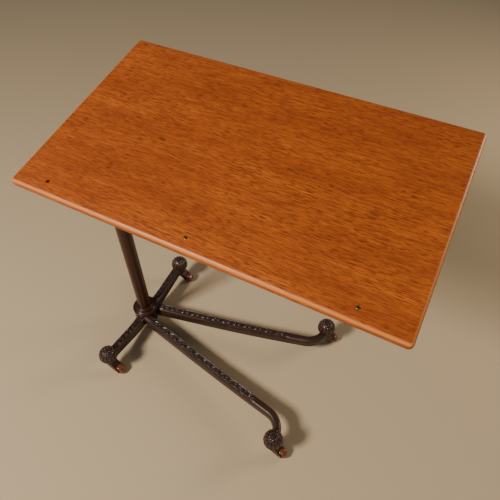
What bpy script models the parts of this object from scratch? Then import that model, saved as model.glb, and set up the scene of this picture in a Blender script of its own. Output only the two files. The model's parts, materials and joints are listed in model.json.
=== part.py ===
"""Tilting reading table on a cast iron base with casters.

Metres, +Z up, +X to the right and +Y to the back. The board turns about a bar under it, the
bar's head stands on a post that slides and turns in a column, and the column stands at the
left end of a base with two short and two long legs. The origin is on the floor, below the
middle of the table's box.
"""

import math
from typing import NamedTuple

import bmesh
import bpy
from mathutils import Euler, Matrix, Vector

# General clearances
GAP = 0.0003
OVERRUN = 0.002
MERGE_DISTANCE = 0.00002
ROUND_SHARE = 0.5
RIM_ANGLE = math.radians(60)
SHARP_ANGLE = math.radians(35)

# Board
BOARD_LENGTH = 0.740
BOARD_DEPTH = 0.430
BOARD_THICKNESS = 0.020
BOARD_CORNER_RADIUS = 0.008
BOARD_EDGE_ROUND = 0.0075
LOWEST_HEIGHT = 0.760
SHOWN_LIFT = 0.030
READING_TILT = math.radians(10.9)
COLUMN_INSET = 0.018

# Sockets for a book ledge, along the board's front edge
SOCKET_PITCH_SHARE = 0.392
SOCKET_OFFSET = -0.008
SOCKET_EDGE_DISTANCE = 0.025
SOCKET_RADIUS = 0.0038
SOCKET_HOLE_RADIUS = 0.0021
SOCKET_LENGTH = 0.014
SOCKET_HOLE_DEPTH = 0.012

# Tilting bar and its head
BAR_RADIUS = 0.011
BAR_BELOW_TOP = 0.060
BAR_SETBACK = 0.0116
BAR_REACH = 0.560
BAR_END_CHAMFER = 0.001
HEAD_RIGHT = 0.060
HEAD_BOSS_RADIUS = 0.018
HEAD_SOCKET_RADIUS = 0.0215
HEAD_LEFT_STEP = 0.0015
HEAD_DROP = 0.045
HEAD_CROWN = 0.004
HEAD_CAP_RADIUS = 0.009
HEAD_CAP_RISE = 0.0045
HEAD_EDGE = 0.002
HEAD_PIN_RADIUS = 0.0025
HEAD_PIN_DROP = 0.032
BAR_CAP_RADIUS = 0.0165
BAR_CAP_LENGTH = 0.010
BAR_CAP_EDGE = 0.0025
BAR_CAP_PIN_RADIUS = 0.0015

# Brackets under the board
BRACKET_HUB_RADIUS = 0.0175
BRACKET_HUB_LENGTH = 0.034
BRACKET_WEB = 0.010
BRACKET_WEB_FOOT = 0.040
BRACKET_FLANGE_WIDTH = 0.042
BRACKET_FLANGE_DEPTH = 0.110
BRACKET_FLANGE_THICKNESS = 0.006
BRACKET_FLANGE_CORNER = 0.010
BRACKET_FLANGE_EDGE = 0.001
LEFT_BRACKET_PLACE = 0.086
RIGHT_BRACKET_PLACE = 0.530
BRACKET_PIN_RADIUS = 0.002
BRACKET_SCREW_RADIUS = 0.0022
BRACKET_SCREW_LENGTH = 0.018
BRACKET_SCREW_HEAD_RADIUS = 0.0042
BRACKET_SCREW_HEAD_HEIGHT = 0.0026
BRACKET_SCREW_CROWN_SHARE = 0.8
BRACKET_SCREW_SPREAD_X = 0.026
BRACKET_SCREW_SPREAD_Y = 0.088

# Post and its guide
POST_RADIUS = 0.015
POST_WALL = 0.0025
POST_TAIL = 0.012
GUIDE_HEIGHT = 0.024
RETAINER_HEIGHT = 0.005
RETAINER_CLEARANCE = 0.0010
TRAVEL_CLEARANCE = 0.002
POST_FLOOR_CLEARANCE = 0.1027
HEAD_REST_CLEARANCE = 0.003

# Column, collar and bush
COLUMN_RADIUS = 0.019
COLUMN_WALL = 0.0016
COLLAR_WALL = 0.007
COLLAR_HEIGHT = 0.034
COLLAR_LIP = 0.008
COLLAR_EDGE = 0.0025
COLLAR_BOSS_RADIUS = 0.009
COLLAR_BOSS_REACH = 0.033
COLLAR_PIN_RADIUS = 0.002
COLLAR_PIN_RISE = 0.007
BUSH_LENGTH = 0.045
BUSH_FLANGE = 0.003
BUSH_FLANGE_STEP = 0.001

# Thumbscrews
THUMB_SHANK_RADIUS = 0.004
THUMB_NECK = 0.001
THUMB_HUB_RADIUS = 0.0065
THUMB_HUB_LENGTH = 0.010
THUMB_HUB_EDGE = 0.0015
THUMB_WING_RADIUS = 0.0075
THUMB_WING_THICKNESS = 0.0035
THUMB_WING_OFFSET = 0.0095
THUMB_WING_RISE = 0.0085
HEIGHT_CLAMP_DROP = 0.026
TILT_CLAMP_PLACE = 0.041

# Hub
HUB_RADIUS = 0.0375
HUB_RECESS = 0.0015
HUB_SHOULDER = 0.077
HUB_TOP = 0.088
HUB_EDGE = 0.004
HUB_FOOT_EDGE = 0.002
HUB_BEAD_RADIUS = 0.0285
HUB_BEAD_ROUND = 0.004
HUB_FLOOR = 0.036
SET_SCREW_RADIUS = 0.004
SET_SCREW_HEAD_RADIUS = 0.0065
SET_SCREW_HEAD_HEIGHT = 0.004
SET_SCREW_HEIGHT = 0.054

# Legs
LEG_ROOT_WIDTH = 0.0275
LEG_ROOT_DEPTH = 0.040
LEG_ROOT_ROUND = 0.010
LEG_TAPER_SHARE = 0.78
LEG_ROOT_HEIGHT = 0.0445
LEG_FOOT_HEIGHT = 0.0625
LEG_LEVEL_SHARE = 0.22
LEG_RISEN_SHARE = 0.86
SHORT_LEG_TAPER_SHARE = 0.86
SHORT_LEG_FOOT_HEIGHT = 0.0658
LONG_LEG_ANGLE = math.radians(12.1)
LONG_LEG_OFFSET = 0.018
LONG_LEG_SEAT = 0.046
LONG_LEG_BEND_RADIUS = 0.055
LONG_FOOT_X = 0.534
LONG_FOOT_Y = 0.188
SHORT_FOOT_X = 0.006
SHORT_FOOT_Y = 0.190
SHORT_LEG_SEAT = 0.043
SHORT_LEG_SPANS = 6
LONG_LEG_SPANS = 9
BEND_STEPS = 6
SPIGOT_RADIUS = 0.0075
SPIGOT_LENGTH = 0.016
LEG_BOLT_RADIUS = 0.003
LEG_BOLT_HEAD_RADIUS = 0.0058
LEG_BOLT_HEAD_HEIGHT = 0.004
LEG_BOLT_BITE = 0.003

# Foot bosses
BALL_RADIUS = 0.0265
BALL_HEIGHT = 0.0790
BALL_HALF_HEIGHT = 0.0265
BOSS_NECK_RADIUS = 0.0185
BOSS_BOTTOM = 0.0460
BOSS_EDGE = 0.0015

# Casters
WHEEL_RADIUS = 0.0155
WHEEL_WIDTH = 0.019
WHEEL_ROUND = 0.005
WHEEL_SIDE_CLEARANCE = 0.0006
CASTER_TRAIL = 0.027
HORN_WIDTH = 0.0260
HORN_PLATE = 0.005
HORN_NECK_RADIUS = 0.0133
HORN_NECK_HEIGHT = 0.008
HORN_HEEL = 0.0105
HORN_TOE = 0.0125
HORN_EYE_RADIUS = 0.0065
HORN_EYE_START = math.radians(-140)
HORN_EYE_END = math.radians(35)
HORN_EYE_STEPS = 5
HORN_TOP_SHARE = 0.25
AXLE_RADIUS = 0.0025
AXLE_PROUD = 0.0006
PINTLE_RADIUS = 0.004
PINTLE_HOLD = 0.024
PINTLE_HEAD_RADIUS = 0.006
PINTLE_HEAD_HEIGHT = 0.0018

# Facets of round pieces
FINE_STEPS = 24
ROUND_STEPS = 20
MEDIUM_STEPS = 16
SMALL_STEPS = 12
HEX_STEPS = 6
BALL_STEPS = 7
ARC_STEPS = 2
BOARD_ARC_STEPS = 3

# Places that follow from the sizes above
HEIGHT_CLAMP_REACH = COLLAR_BOSS_REACH + THUMB_NECK + THUMB_WING_RISE + THUMB_WING_RADIUS
RIGHT_REACH = BOARD_LENGTH - COLUMN_INSET
COLUMN_X = (HEIGHT_CLAMP_REACH - RIGHT_REACH) / 2
BOARD_HEIGHT = LOWEST_HEIGHT + SHOWN_LIFT
TILT_HEIGHT = (BOARD_HEIGHT - BAR_SETBACK * math.sin(READING_TILT)
               - BAR_BELOW_TOP * math.cos(READING_TILT))
LOWEST_TILT_HEIGHT = LOWEST_HEIGHT - BAR_BELOW_TOP

HEAD_LEFT = HEAD_SOCKET_RADIUS + HEAD_LEFT_STEP
BOARD_MIDDLE_X = BOARD_LENGTH / 2 - COLUMN_INSET
BOARD_UNDERSIDE = BAR_BELOW_TOP - BOARD_THICKNESS
BOARD_FRONT = BAR_SETBACK - BOARD_DEPTH / 2
SOCKET_PITCH = SOCKET_PITCH_SHARE * BOARD_LENGTH

STUB_BOTTOM = LEG_ROOT_HEIGHT - LEG_ROOT_DEPTH / 2
HUB_BOTTOM = STUB_BOTTOM + HUB_RECESS
COLUMN_BORE = COLUMN_RADIUS - COLUMN_WALL
COLLAR_RADIUS = COLUMN_RADIUS + COLLAR_WALL
COLLAR_TOP = LOWEST_TILT_HEIGHT - HEAD_DROP - HEAD_REST_CLEARANCE
COLLAR_BOTTOM = COLLAR_TOP - COLLAR_HEIGHT
BUSH_TOP = COLLAR_TOP - COLLAR_LIP - GAP
BUSH_BOTTOM = BUSH_TOP - BUSH_LENGTH
COLUMN_TOP = BUSH_TOP - BUSH_FLANGE - GAP
COLUMN_BOTTOM = HUB_FLOOR + GAP
HEIGHT_CLAMP_HEIGHT = COLLAR_TOP - HEIGHT_CLAMP_DROP + THUMB_SHANK_RADIUS

# The travel is the column's room below the bush, less what the post's foot takes up
POST_FOOT_LENGTH = TRAVEL_CLEARANCE + 2 * (RETAINER_HEIGHT + RETAINER_CLEARANCE) + GUIDE_HEIGHT + POST_TAIL
HIGHEST_HEIGHT = LOWEST_HEIGHT + BUSH_BOTTOM - POST_FOOT_LENGTH - HUB_FLOOR - POST_FLOOR_CLEARANCE
HIGHEST_TILT_HEIGHT = HIGHEST_HEIGHT - BAR_BELOW_TOP
RAISE_RANGE = HIGHEST_TILT_HEIGHT - TILT_HEIGHT

POST_TOP = TILT_HEIGHT - BAR_RADIUS - HEAD_CROWN - GAP
UPPER_RETAINER_TOP = BUSH_BOTTOM - RAISE_RANGE - TRAVEL_CLEARANCE
GUIDE_TOP = UPPER_RETAINER_TOP - RETAINER_HEIGHT - RETAINER_CLEARANCE
GUIDE_BOTTOM = GUIDE_TOP - GUIDE_HEIGHT
LOWER_RETAINER_TOP = GUIDE_BOTTOM - RETAINER_CLEARANCE
POST_BOTTOM = LOWER_RETAINER_TOP - RETAINER_HEIGHT - POST_TAIL

HORN_TOP = BOSS_BOTTOM - GAP
HORN_SLOT_TOP = HORN_TOP - HORN_PLATE


class Finish(NamedTuple):
    """Colour, roughness and metallic value of a piece."""

    colour: tuple
    roughness: float
    metallic: float


IRON = Finish((0.045, 0.024, 0.016), 0.35, 0.3)
STEEL = Finish((0.42, 0.41, 0.39), 0.35, 1.0)
DARK_STEEL = Finish((0.10, 0.09, 0.085), 0.4, 0.9)
BRASS = Finish((0.62, 0.45, 0.20), 0.35, 1.0)
TIMBER = Finish((0.42, 0.13, 0.03), 0.35, 0.0)
WHEEL = Finish((0.26, 0.07, 0.03), 0.25, 0.0)


class Foot(NamedTuple):
    """One leg with its foot: which side it is on, its kind, and how its caster trails."""

    name: str
    long: bool
    side: int
    trail: float


FEET = (
    Foot("short_front", False, -1, 0),
    Foot("short_back", False, 1, math.radians(10)),
    Foot("long_front", True, -1, 0),
    Foot("long_back", True, 1, math.radians(30)),
)


# Scene and collections


def clear_scene():
    """Remove every object, and return the collections for the parts and the cutters."""
    for item in list(bpy.data.objects):
        bpy.data.objects.remove(item, do_unlink=True)
    made = []
    for name in ("tilting_reading_table", "cutters"):
        group = bpy.data.collections.new(name)
        bpy.context.scene.collection.children.link(group)
        made.append(group)
    return made


PARTS, CUTTERS = clear_scene()


def add_object(name, data, place=(0, 0, 0), turn=(0, 0, 0), parent=None):
    """Link an object to the parts, at a place and turn in its parent's frame."""
    item = bpy.data.objects.new(name, data)
    PARTS.objects.link(item)
    item.location = place
    item.rotation_euler = turn
    item.parent = parent
    return item


def empty(name, place, turn=(0, 0, 0), parent=None):
    """An axis or frame that pieces are placed by."""
    return add_object(name, None, place, turn, parent)


def as_cutter(item, group):
    """Move an object to a group of cutters, shown as wire and left out of renders."""
    PARTS.objects.unlink(item)
    group.objects.link(item)
    item.hide_render = True
    item.display_type = "WIRE"
    return item


def paint(item, finish):
    """Give a piece its own Principled material."""
    material = bpy.data.materials.new(item.name + "_finish")
    material.use_nodes = True
    shader = material.node_tree.nodes["Principled BSDF"]
    shader.inputs["Base Color"].default_value = (*finish.colour, 1)
    shader.inputs["Roughness"].default_value = finish.roughness
    shader.inputs["Metallic"].default_value = finish.metallic
    item.data.materials.clear()
    item.data.materials.append(material)
    return item


def smooth(item):
    """Shade round faces smooth and keep the sharp edges."""
    item.data.shade_smooth()
    item.data.set_sharp_from_angle(angle=SHARP_ANGLE)
    return item


# Basic solids


def mesh_object(name, bm, place=(0, 0, 0), turn=(0, 0, 0), parent=None):
    """Turn a bmesh into an object."""
    mesh = bpy.data.meshes.new(name)
    bm.to_mesh(mesh)
    bm.free()
    return add_object(name, mesh, place, turn, parent)


def rounded_box(name, size, corner, edge, corner_steps, edge_steps, place, turn=(0, 0, 0), parent=None):
    """A slab with round corners in plan and rounded rims."""
    bm = bmesh.new()
    bmesh.ops.create_cube(bm, size=1)
    bmesh.ops.scale(bm, vec=size, verts=bm.verts)
    if corner:
        upright = [e for e in bm.edges if abs(e.verts[0].co.z - e.verts[1].co.z) > edge]
        bmesh.ops.bevel(bm, geom=upright, offset=corner, segments=corner_steps, profile=ROUND_SHARE,
                        affect="EDGES", material=-1, clamp_overlap=True)
    if edge:
        rims = [e for e in bm.edges if e.verts[0].co.z * e.verts[1].co.z > 0
                and e.calc_face_angle() > RIM_ANGLE]
        bmesh.ops.bevel(bm, geom=rims, offset=edge, segments=edge_steps, profile=ROUND_SHARE,
                        affect="EDGES", material=-1, clamp_overlap=True)
    return mesh_object(name, bm, place, turn, parent)


def box(name, size, place, turn=(0, 0, 0), parent=None):
    """A plain box."""
    return rounded_box(name, size, 0, 0, 1, 1, place, turn, parent)


def rod(name, radius, low, high, place, turn=(0, 0, 0), parent=None, steps=SMALL_STEPS):
    """A plain cylinder along its local Z, from low to high."""
    bm = bmesh.new()
    bmesh.ops.create_cone(bm, cap_ends=True, segments=steps, radius1=radius, radius2=radius,
                          depth=high - low)
    bmesh.ops.translate(bm, vec=(0, 0, (low + high) / 2), verts=bm.verts)
    return mesh_object(name, bm, place, turn, parent)


def turned(name, profile, place, turn=(0, 0, 0), parent=None, steps=ROUND_STEPS, ring=False):
    """A turned piece: (radius, height) points that run down its outer side."""
    mesh = bpy.data.meshes.new(name)
    count = len(profile)
    edges = [(i, i + 1) for i in range(count - 1)]
    if ring:
        edges.append((count - 1, 0))
    mesh.from_pydata([(radius, 0, height) for radius, height in profile], edges, [])
    item = add_object(name, mesh, place, turn, parent)
    screw = item.modifiers.new("turn", "SCREW")
    screw.axis = "Z"
    screw.angle = math.tau
    screw.steps = steps
    screw.render_steps = steps
    screw.use_merge_vertices = True
    screw.merge_threshold = MERGE_DISTANCE
    screw.use_smooth_shade = False
    return item


def tube(name, outer, bore, low, high, edge=0, place=(0, 0, 0), turn=(0, 0, 0), parent=None,
         steps=FINE_STEPS):
    """A turned ring or tube with small chamfers on its outer rims."""
    profile = [(bore, low), (bore, high)]
    if edge:
        profile += [(outer - edge, high), (outer, high - edge), (outer, low + edge), (outer - edge, low)]
    else:
        profile += [(outer, high), (outer, low)]
    return turned(name, profile, place, turn, parent, steps, ring=True)


def to_mesh(item):
    """Replace a curve object with its welded mesh, in the same place."""
    bpy.context.view_layer.update()
    depsgraph = bpy.context.evaluated_depsgraph_get()
    mesh = bpy.data.meshes.new_from_object(item.evaluated_get(depsgraph))
    bm = bmesh.new()
    bm.from_mesh(mesh)
    bmesh.ops.remove_doubles(bm, verts=bm.verts, dist=MERGE_DISTANCE)
    bmesh.ops.recalc_face_normals(bm, faces=bm.faces)
    bm.to_mesh(mesh)
    bm.free()
    name, matrix = item.name, item.matrix_world.copy()
    bpy.data.objects.remove(item, do_unlink=True)
    solid = add_object(name, mesh)
    solid.matrix_world = matrix
    return solid


def outline_slab(name, points, thickness, place=(0, 0, 0), turn=(0, 0, 0), parent=None):
    """A flat outline made thick, half to each side of its plane."""
    curve = bpy.data.curves.new(name, "CURVE")
    curve.dimensions = "2D"
    curve.fill_mode = "BOTH"
    curve.extrude = thickness / 2
    line = curve.splines.new("POLY")
    line.points.add(len(points) - 1)
    for point, (x, y) in zip(line.points, points):
        point.co = (x, y, 0, 1)
    line.use_cyclic_u = True
    return to_mesh(add_object(name, curve, place, turn, parent))


def combine(item, others, operation, tag):
    """Work other solids into a piece with one Boolean, through a group of their own."""
    group = bpy.data.collections.new(item.name + tag)
    CUTTERS.children.link(group)
    for other in others:
        as_cutter(other, group)
    boolean = item.modifiers.new(group.name, "BOOLEAN")
    boolean.operation = operation
    boolean.operand_type = "COLLECTION"
    boolean.collection = group
    return item


def join(item, *others):
    """Unite a piece with other solids."""
    return combine(item, others, "UNION", "_additions")


def cut(item, *others):
    """Cut other solids out of a piece."""
    return combine(item, others, "DIFFERENCE", "_cuts")


def finished(item, finish):
    """Shade a piece and give it its material."""
    return paint(smooth(item), finish)


# Directions

ALONG_X = (0, math.pi / 2, 0)
ALONG_MINUS_X = (0, -math.pi / 2, 0)
ALONG_Y = (-math.pi / 2, 0, 0)
ALONG_MINUS_Y = (math.pi / 2, 0, 0)
UPRIGHT = (0, 0, 0)
DOWNWARD = (math.pi, 0, 0)


def arc(centre, radius, start, end, steps):
    """Points of an arc in a plane."""
    angles = [start + (end - start) * i / steps for i in range(steps + 1)]
    return [(centre[0] + radius * math.cos(a), centre[1] + radius * math.sin(a)) for a in angles]


# Legs


def foot_place(foot):
    """Where a foot's caster axis stands, from the column's axis."""
    if foot.long:
        return Vector((LONG_FOOT_X, foot.side * LONG_FOOT_Y, 0))
    return Vector((SHORT_FOOT_X, foot.side * SHORT_FOOT_Y, 0))


def leg_frame(foot):
    """The start of a leg's centre line at the hub, its heading, and its seat's distance."""
    if foot.long:
        return Vector((0, foot.side * LONG_LEG_OFFSET, 0)), foot.side * LONG_LEG_ANGLE, LONG_LEG_SEAT
    return Vector((SHORT_FOOT_X, 0, 0)), foot.side * math.pi / 2, SHORT_LEG_SEAT


def heading_vector(angle):
    """A level unit vector at an angle from +X."""
    return Vector((math.cos(angle), math.sin(angle), 0))


def plan_line(foot):
    """A leg's centre line in plan, from its seat at the hub to its foot."""
    start, angle, seat = leg_frame(foot)
    end = foot_place(foot)
    first = start + seat * heading_vector(angle)
    if not foot.long:
        return [first.lerp(end, i / SHORT_LEG_SPANS) for i in range(SHORT_LEG_SPANS + 1)]
    corner = start + heading_vector(angle) * (end.x - start.x) / math.cos(angle)
    turn_angle = math.pi / 2 - LONG_LEG_ANGLE
    tangent = LONG_LEG_BEND_RADIUS * math.tan(turn_angle / 2)
    bend_start = corner - tangent * heading_vector(angle)
    centre = Vector((end.x - LONG_LEG_BEND_RADIUS, corner.y + foot.side * tangent, 0))
    line = [first.lerp(bend_start, i / LONG_LEG_SPANS) for i in range(LONG_LEG_SPANS)]
    for i in range(BEND_STEPS + 1):
        a = -foot.side * turn_angle * (1 - i / BEND_STEPS)
        line.append(centre + LONG_LEG_BEND_RADIUS * Vector((math.cos(a), math.sin(a), 0)))
    return line + [end]


def leg_line(foot):
    """A leg's centre line with its rise towards the foot, and its scale at each point."""
    line = plan_line(foot)
    lengths = [0]
    for a, b in zip(line, line[1:]):
        lengths.append(lengths[-1] + (b - a).length)
    taper = LEG_TAPER_SHARE if foot.long else SHORT_LEG_TAPER_SHARE
    top = LEG_FOOT_HEIGHT if foot.long else SHORT_LEG_FOOT_HEIGHT
    result = []
    for point, length in zip(line, lengths):
        share = length / lengths[-1]
        if foot.long:
            rise = min(1, max(0, (share - LEG_LEVEL_SHARE) / (LEG_RISEN_SHARE - LEG_LEVEL_SHARE))) ** 2
        else:
            # Level over its first span, so that it meets the hub squarely, then straight up to the foot
            rise = max(0, (share * SHORT_LEG_SPANS - 1) / (SHORT_LEG_SPANS - 1))
        height = LEG_ROOT_HEIGHT + (top - LEG_ROOT_HEIGHT) * rise
        result.append((Vector((point.x, point.y, height)), 1 - (1 - taper) * share))
    return result


def leg_section():
    """The rounded section of a leg at its root, as a profile for a sweep."""
    half_width = LEG_ROOT_WIDTH / 2 - LEG_ROOT_ROUND
    half_depth = LEG_ROOT_DEPTH / 2 - LEG_ROOT_ROUND
    points = []
    for i, (sx, sy) in enumerate(((1, 1), (-1, 1), (-1, -1), (1, -1))):
        corner = (sx * half_width, sy * half_depth)
        points += arc(corner, LEG_ROOT_ROUND, i * math.pi / 2, (i + 1) * math.pi / 2, ARC_STEPS)
    curve = bpy.data.curves.new("leg_section", "CURVE")
    curve.dimensions = "2D"
    line = curve.splines.new("POLY")
    line.points.add(len(points) - 1)
    for point, (x, y) in zip(line.points, points):
        point.co = (x, y, 0, 1)
    line.use_cyclic_u = True
    return as_cutter(add_object("leg_section", curve), CUTTERS)


def swept_bar(name, line, section, parent):
    """Sweep the leg's section along (point, scale) pairs."""
    curve = bpy.data.curves.new(name, "CURVE")
    curve.dimensions = "3D"
    curve.twist_mode = "Z_UP"
    curve.bevel_mode = "OBJECT"
    curve.bevel_object = section
    curve.use_fill_caps = True
    spline = curve.splines.new("POLY")
    spline.points.add(len(line) - 1)
    for point, (place, scale) in zip(spline.points, line):
        point.co = (*place, 1)
        point.radius = scale
    return to_mesh(add_object(name, curve, parent=parent))


def boss_profile():
    """The foot's ball over the caster's socket, from the top down."""
    neck_angle = -math.acos(BOSS_NECK_RADIUS / BALL_RADIUS)
    angles = [math.pi / 2 + (neck_angle - math.pi / 2) * i / BALL_STEPS for i in range(BALL_STEPS + 1)]
    points = [(BALL_RADIUS * math.cos(a), BALL_HEIGHT + BALL_HALF_HEIGHT * math.sin(a)) for a in angles]
    points[0] = (0, BALL_HEIGHT + BALL_HALF_HEIGHT)
    points += [(BOSS_NECK_RADIUS, BOSS_BOTTOM + BOSS_EDGE), (BOSS_NECK_RADIUS - BOSS_EDGE, BOSS_BOTTOM)]
    return points + [(0, BOSS_BOTTOM)]


def bolt_place(foot):
    """Where a leg's bolt stands, half way along its spigot."""
    start, angle, seat = leg_frame(foot)
    return start + (seat - SPIGOT_LENGTH / 2) * heading_vector(angle)


def leg(foot, section, base):
    """A leg casting: a swept bar with a ball foot, a spigot for the hub and its holes."""
    start, angle, seat = leg_frame(foot)
    line = leg_line(foot)
    item = swept_bar("leg_" + foot.name, line, section, base)
    place = foot_place(foot)
    boss = turned("boss_" + foot.name, boss_profile(), place, parent=base)
    root = start + seat * heading_vector(angle) + Vector((0, 0, LEG_ROOT_HEIGHT))
    inward = (0, -math.pi / 2, angle)
    spigot = rod("spigot_" + foot.name, SPIGOT_RADIUS, -SPIGOT_RADIUS, SPIGOT_LENGTH, root, inward, base)
    bolt_hole = rod("bolt_hole_" + foot.name, LEG_BOLT_RADIUS + GAP, STUB_BOTTOM,
                    LEG_ROOT_HEIGHT + LEG_BOLT_BITE + GAP, bolt_place(foot), parent=base)
    pintle_hole = rod("pintle_hole_" + foot.name, PINTLE_RADIUS + GAP, BOSS_BOTTOM - OVERRUN,
                      BOSS_BOTTOM + PINTLE_HOLD + GAP, place, parent=base)
    join(item, boss, spigot)
    cut(item, bolt_hole, pintle_hole)
    return finished(item, IRON)


def leg_bolt(foot, base):
    """The bolt that holds a leg to the hub, from below."""
    low = STUB_BOTTOM - GAP
    place = bolt_place(foot)
    item = rod("leg_bolt_" + foot.name, LEG_BOLT_RADIUS, low - LEG_BOLT_HEAD_HEIGHT / 2,
               LEG_ROOT_HEIGHT + LEG_BOLT_BITE, place, parent=base)
    join(item, rod("bolt_head_" + foot.name, LEG_BOLT_HEAD_RADIUS, low - LEG_BOLT_HEAD_HEIGHT, low, place,
                   parent=base, steps=HEX_STEPS))
    return finished(item, DARK_STEEL)


# Hub and column


def hub_profile():
    """The hub's drum with a bead at the column's foot, from the top down."""
    bead_centre = (HUB_BEAD_RADIUS - HUB_BEAD_ROUND, HUB_TOP - HUB_BEAD_ROUND)
    points = [(0, HUB_TOP)]
    points += arc(bead_centre, HUB_BEAD_ROUND, math.pi / 2, -math.pi / 4, 2 * ARC_STEPS)
    points += [(HUB_BEAD_RADIUS, HUB_SHOULDER)]
    points += arc((HUB_RADIUS - HUB_EDGE, HUB_SHOULDER - HUB_EDGE), HUB_EDGE, math.pi / 2, 0, ARC_STEPS)
    return points + [(HUB_RADIUS, HUB_BOTTOM + HUB_FOOT_EDGE), (HUB_RADIUS - HUB_FOOT_EDGE, HUB_BOTTOM),
                     (0, HUB_BOTTOM)]


def hub(section, base):
    """The hub casting, with a stub for each leg and a socket for the column."""
    item = turned("hub", hub_profile(), (0, 0, 0), parent=base, steps=FINE_STEPS)
    stubs = []
    cutters = [rod("column_socket", COLUMN_RADIUS + GAP, HUB_FLOOR, HUB_TOP + OVERRUN, (0, 0, 0),
                   parent=base, steps=FINE_STEPS)]
    for foot in FEET:
        start, angle, seat = leg_frame(foot)
        height = Vector((0, 0, LEG_ROOT_HEIGHT))
        seat_point = start + (seat - GAP) * heading_vector(angle) + height
        stubs.append(swept_bar("stub_" + foot.name, [(start + height, 1), (seat_point, 1)], section, base))
        cutters.append(rod("spigot_bore_" + foot.name, SPIGOT_RADIUS + GAP, -OVERRUN, SPIGOT_LENGTH + GAP,
                           seat_point, (0, -math.pi / 2, angle), base))
        cutters.append(rod("stub_bolt_hole_" + foot.name, LEG_BOLT_RADIUS + GAP, STUB_BOTTOM - OVERRUN,
                           LEG_ROOT_HEIGHT, bolt_place(foot), parent=base))
    cutters.append(rod("set_screw_hole", SET_SCREW_RADIUS + GAP, COLUMN_BORE, HUB_RADIUS + OVERRUN,
                       (0, 0, SET_SCREW_HEIGHT), ALONG_MINUS_X, base))
    join(item, *stubs)
    cut(item, *cutters)
    return finished(item, IRON)


def set_screw(base):
    """The screw that holds the column in the hub."""
    head_low = HUB_RADIUS + GAP
    head_high = head_low + SET_SCREW_HEAD_HEIGHT
    profile = [(0, head_high), (SET_SCREW_HEAD_RADIUS, head_high), (SET_SCREW_HEAD_RADIUS, head_low),
               (SET_SCREW_RADIUS, head_low), (SET_SCREW_RADIUS, COLUMN_RADIUS + GAP),
               (0, COLUMN_RADIUS + GAP)]
    item = turned("column_set_screw", profile, (0, 0, SET_SCREW_HEIGHT), ALONG_MINUS_X, base, SMALL_STEPS)
    return finished(item, DARK_STEEL)


def clamp_hole(name, low, high, base):
    """A cutter for the height clamp's way through the collar, the column and the bush."""
    return rod(name, THUMB_SHANK_RADIUS + GAP, low, high, (0, 0, HEIGHT_CLAMP_HEIGHT), ALONG_MINUS_X, base)


def collar_pin_holes(name, base):
    """Cutters for the pins that hold the collar on the column, one to the front and one to the back."""
    height = COLLAR_BOTTOM + COLLAR_PIN_RISE
    return [rod(name + tag, COLLAR_PIN_RADIUS + GAP, COLUMN_BORE - OVERRUN, COLLAR_RADIUS + OVERRUN,
                (0, 0, height), way, base)
            for tag, way in (("_front", ALONG_MINUS_Y), ("_back", ALONG_Y))]


def column(base):
    """The outer tube that stands in the hub."""
    item = tube("column_tube", COLUMN_RADIUS, COLUMN_BORE, COLUMN_BOTTOM, COLUMN_TOP, parent=base)
    cut(item, clamp_hole("column_clamp_hole", COLUMN_BORE - OVERRUN, COLUMN_RADIUS + OVERRUN, base),
        *collar_pin_holes("column_pin_hole", base))
    return finished(item, IRON)


def collar(base):
    """The collar on the column's top, with a boss for the height clamp."""
    lip_bore = POST_RADIUS + 2 * GAP
    lip_low = COLLAR_TOP - COLLAR_LIP
    profile = [(COLUMN_RADIUS + GAP, COLLAR_BOTTOM), (COLUMN_RADIUS + GAP, lip_low), (lip_bore, lip_low),
               (lip_bore, COLLAR_TOP), (COLLAR_RADIUS - COLLAR_EDGE, COLLAR_TOP),
               (COLLAR_RADIUS, COLLAR_TOP - COLLAR_EDGE), (COLLAR_RADIUS, COLLAR_BOTTOM + COLLAR_EDGE),
               (COLLAR_RADIUS - COLLAR_EDGE, COLLAR_BOTTOM)]
    item = turned("column_collar", profile, (0, 0, 0), parent=base, steps=FINE_STEPS, ring=True)
    boss = rod("collar_boss", COLLAR_BOSS_RADIUS, COLUMN_RADIUS + COLLAR_WALL / 2, COLLAR_BOSS_REACH,
               (0, 0, HEIGHT_CLAMP_HEIGHT), ALONG_MINUS_X, base, MEDIUM_STEPS)
    join(item, boss)
    cut(item, clamp_hole("collar_clamp_hole", COLUMN_BORE, COLLAR_BOSS_REACH + OVERRUN, base),
        *collar_pin_holes("collar_pin_hole", base))
    return finished(item, IRON)


def collar_pin(name, way, base):
    """A pin that holds the collar on the column."""
    item = rod(name, COLLAR_PIN_RADIUS, COLUMN_BORE, COLLAR_RADIUS, (0, 0, COLLAR_BOTTOM + COLLAR_PIN_RISE),
               way, base)
    return finished(item, DARK_STEEL)


def bush(base):
    """The flanged brass bush that guides the post in the column's top."""
    bore = POST_RADIUS + GAP
    outer = COLUMN_BORE - GAP
    flange = outer + COLUMN_WALL - BUSH_FLANGE_STEP + GAP
    profile = [(bore, BUSH_BOTTOM), (bore, BUSH_TOP), (flange, BUSH_TOP), (flange, BUSH_TOP - BUSH_FLANGE),
               (outer, BUSH_TOP - BUSH_FLANGE), (outer, BUSH_BOTTOM)]
    item = turned("column_bush", profile, (0, 0, 0), parent=base, steps=FINE_STEPS, ring=True)
    cut(item, clamp_hole("bush_clamp_hole", POST_RADIUS - OVERRUN, COLUMN_BORE + OVERRUN, base))
    return finished(item, BRASS)


# Thumbscrews


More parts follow.
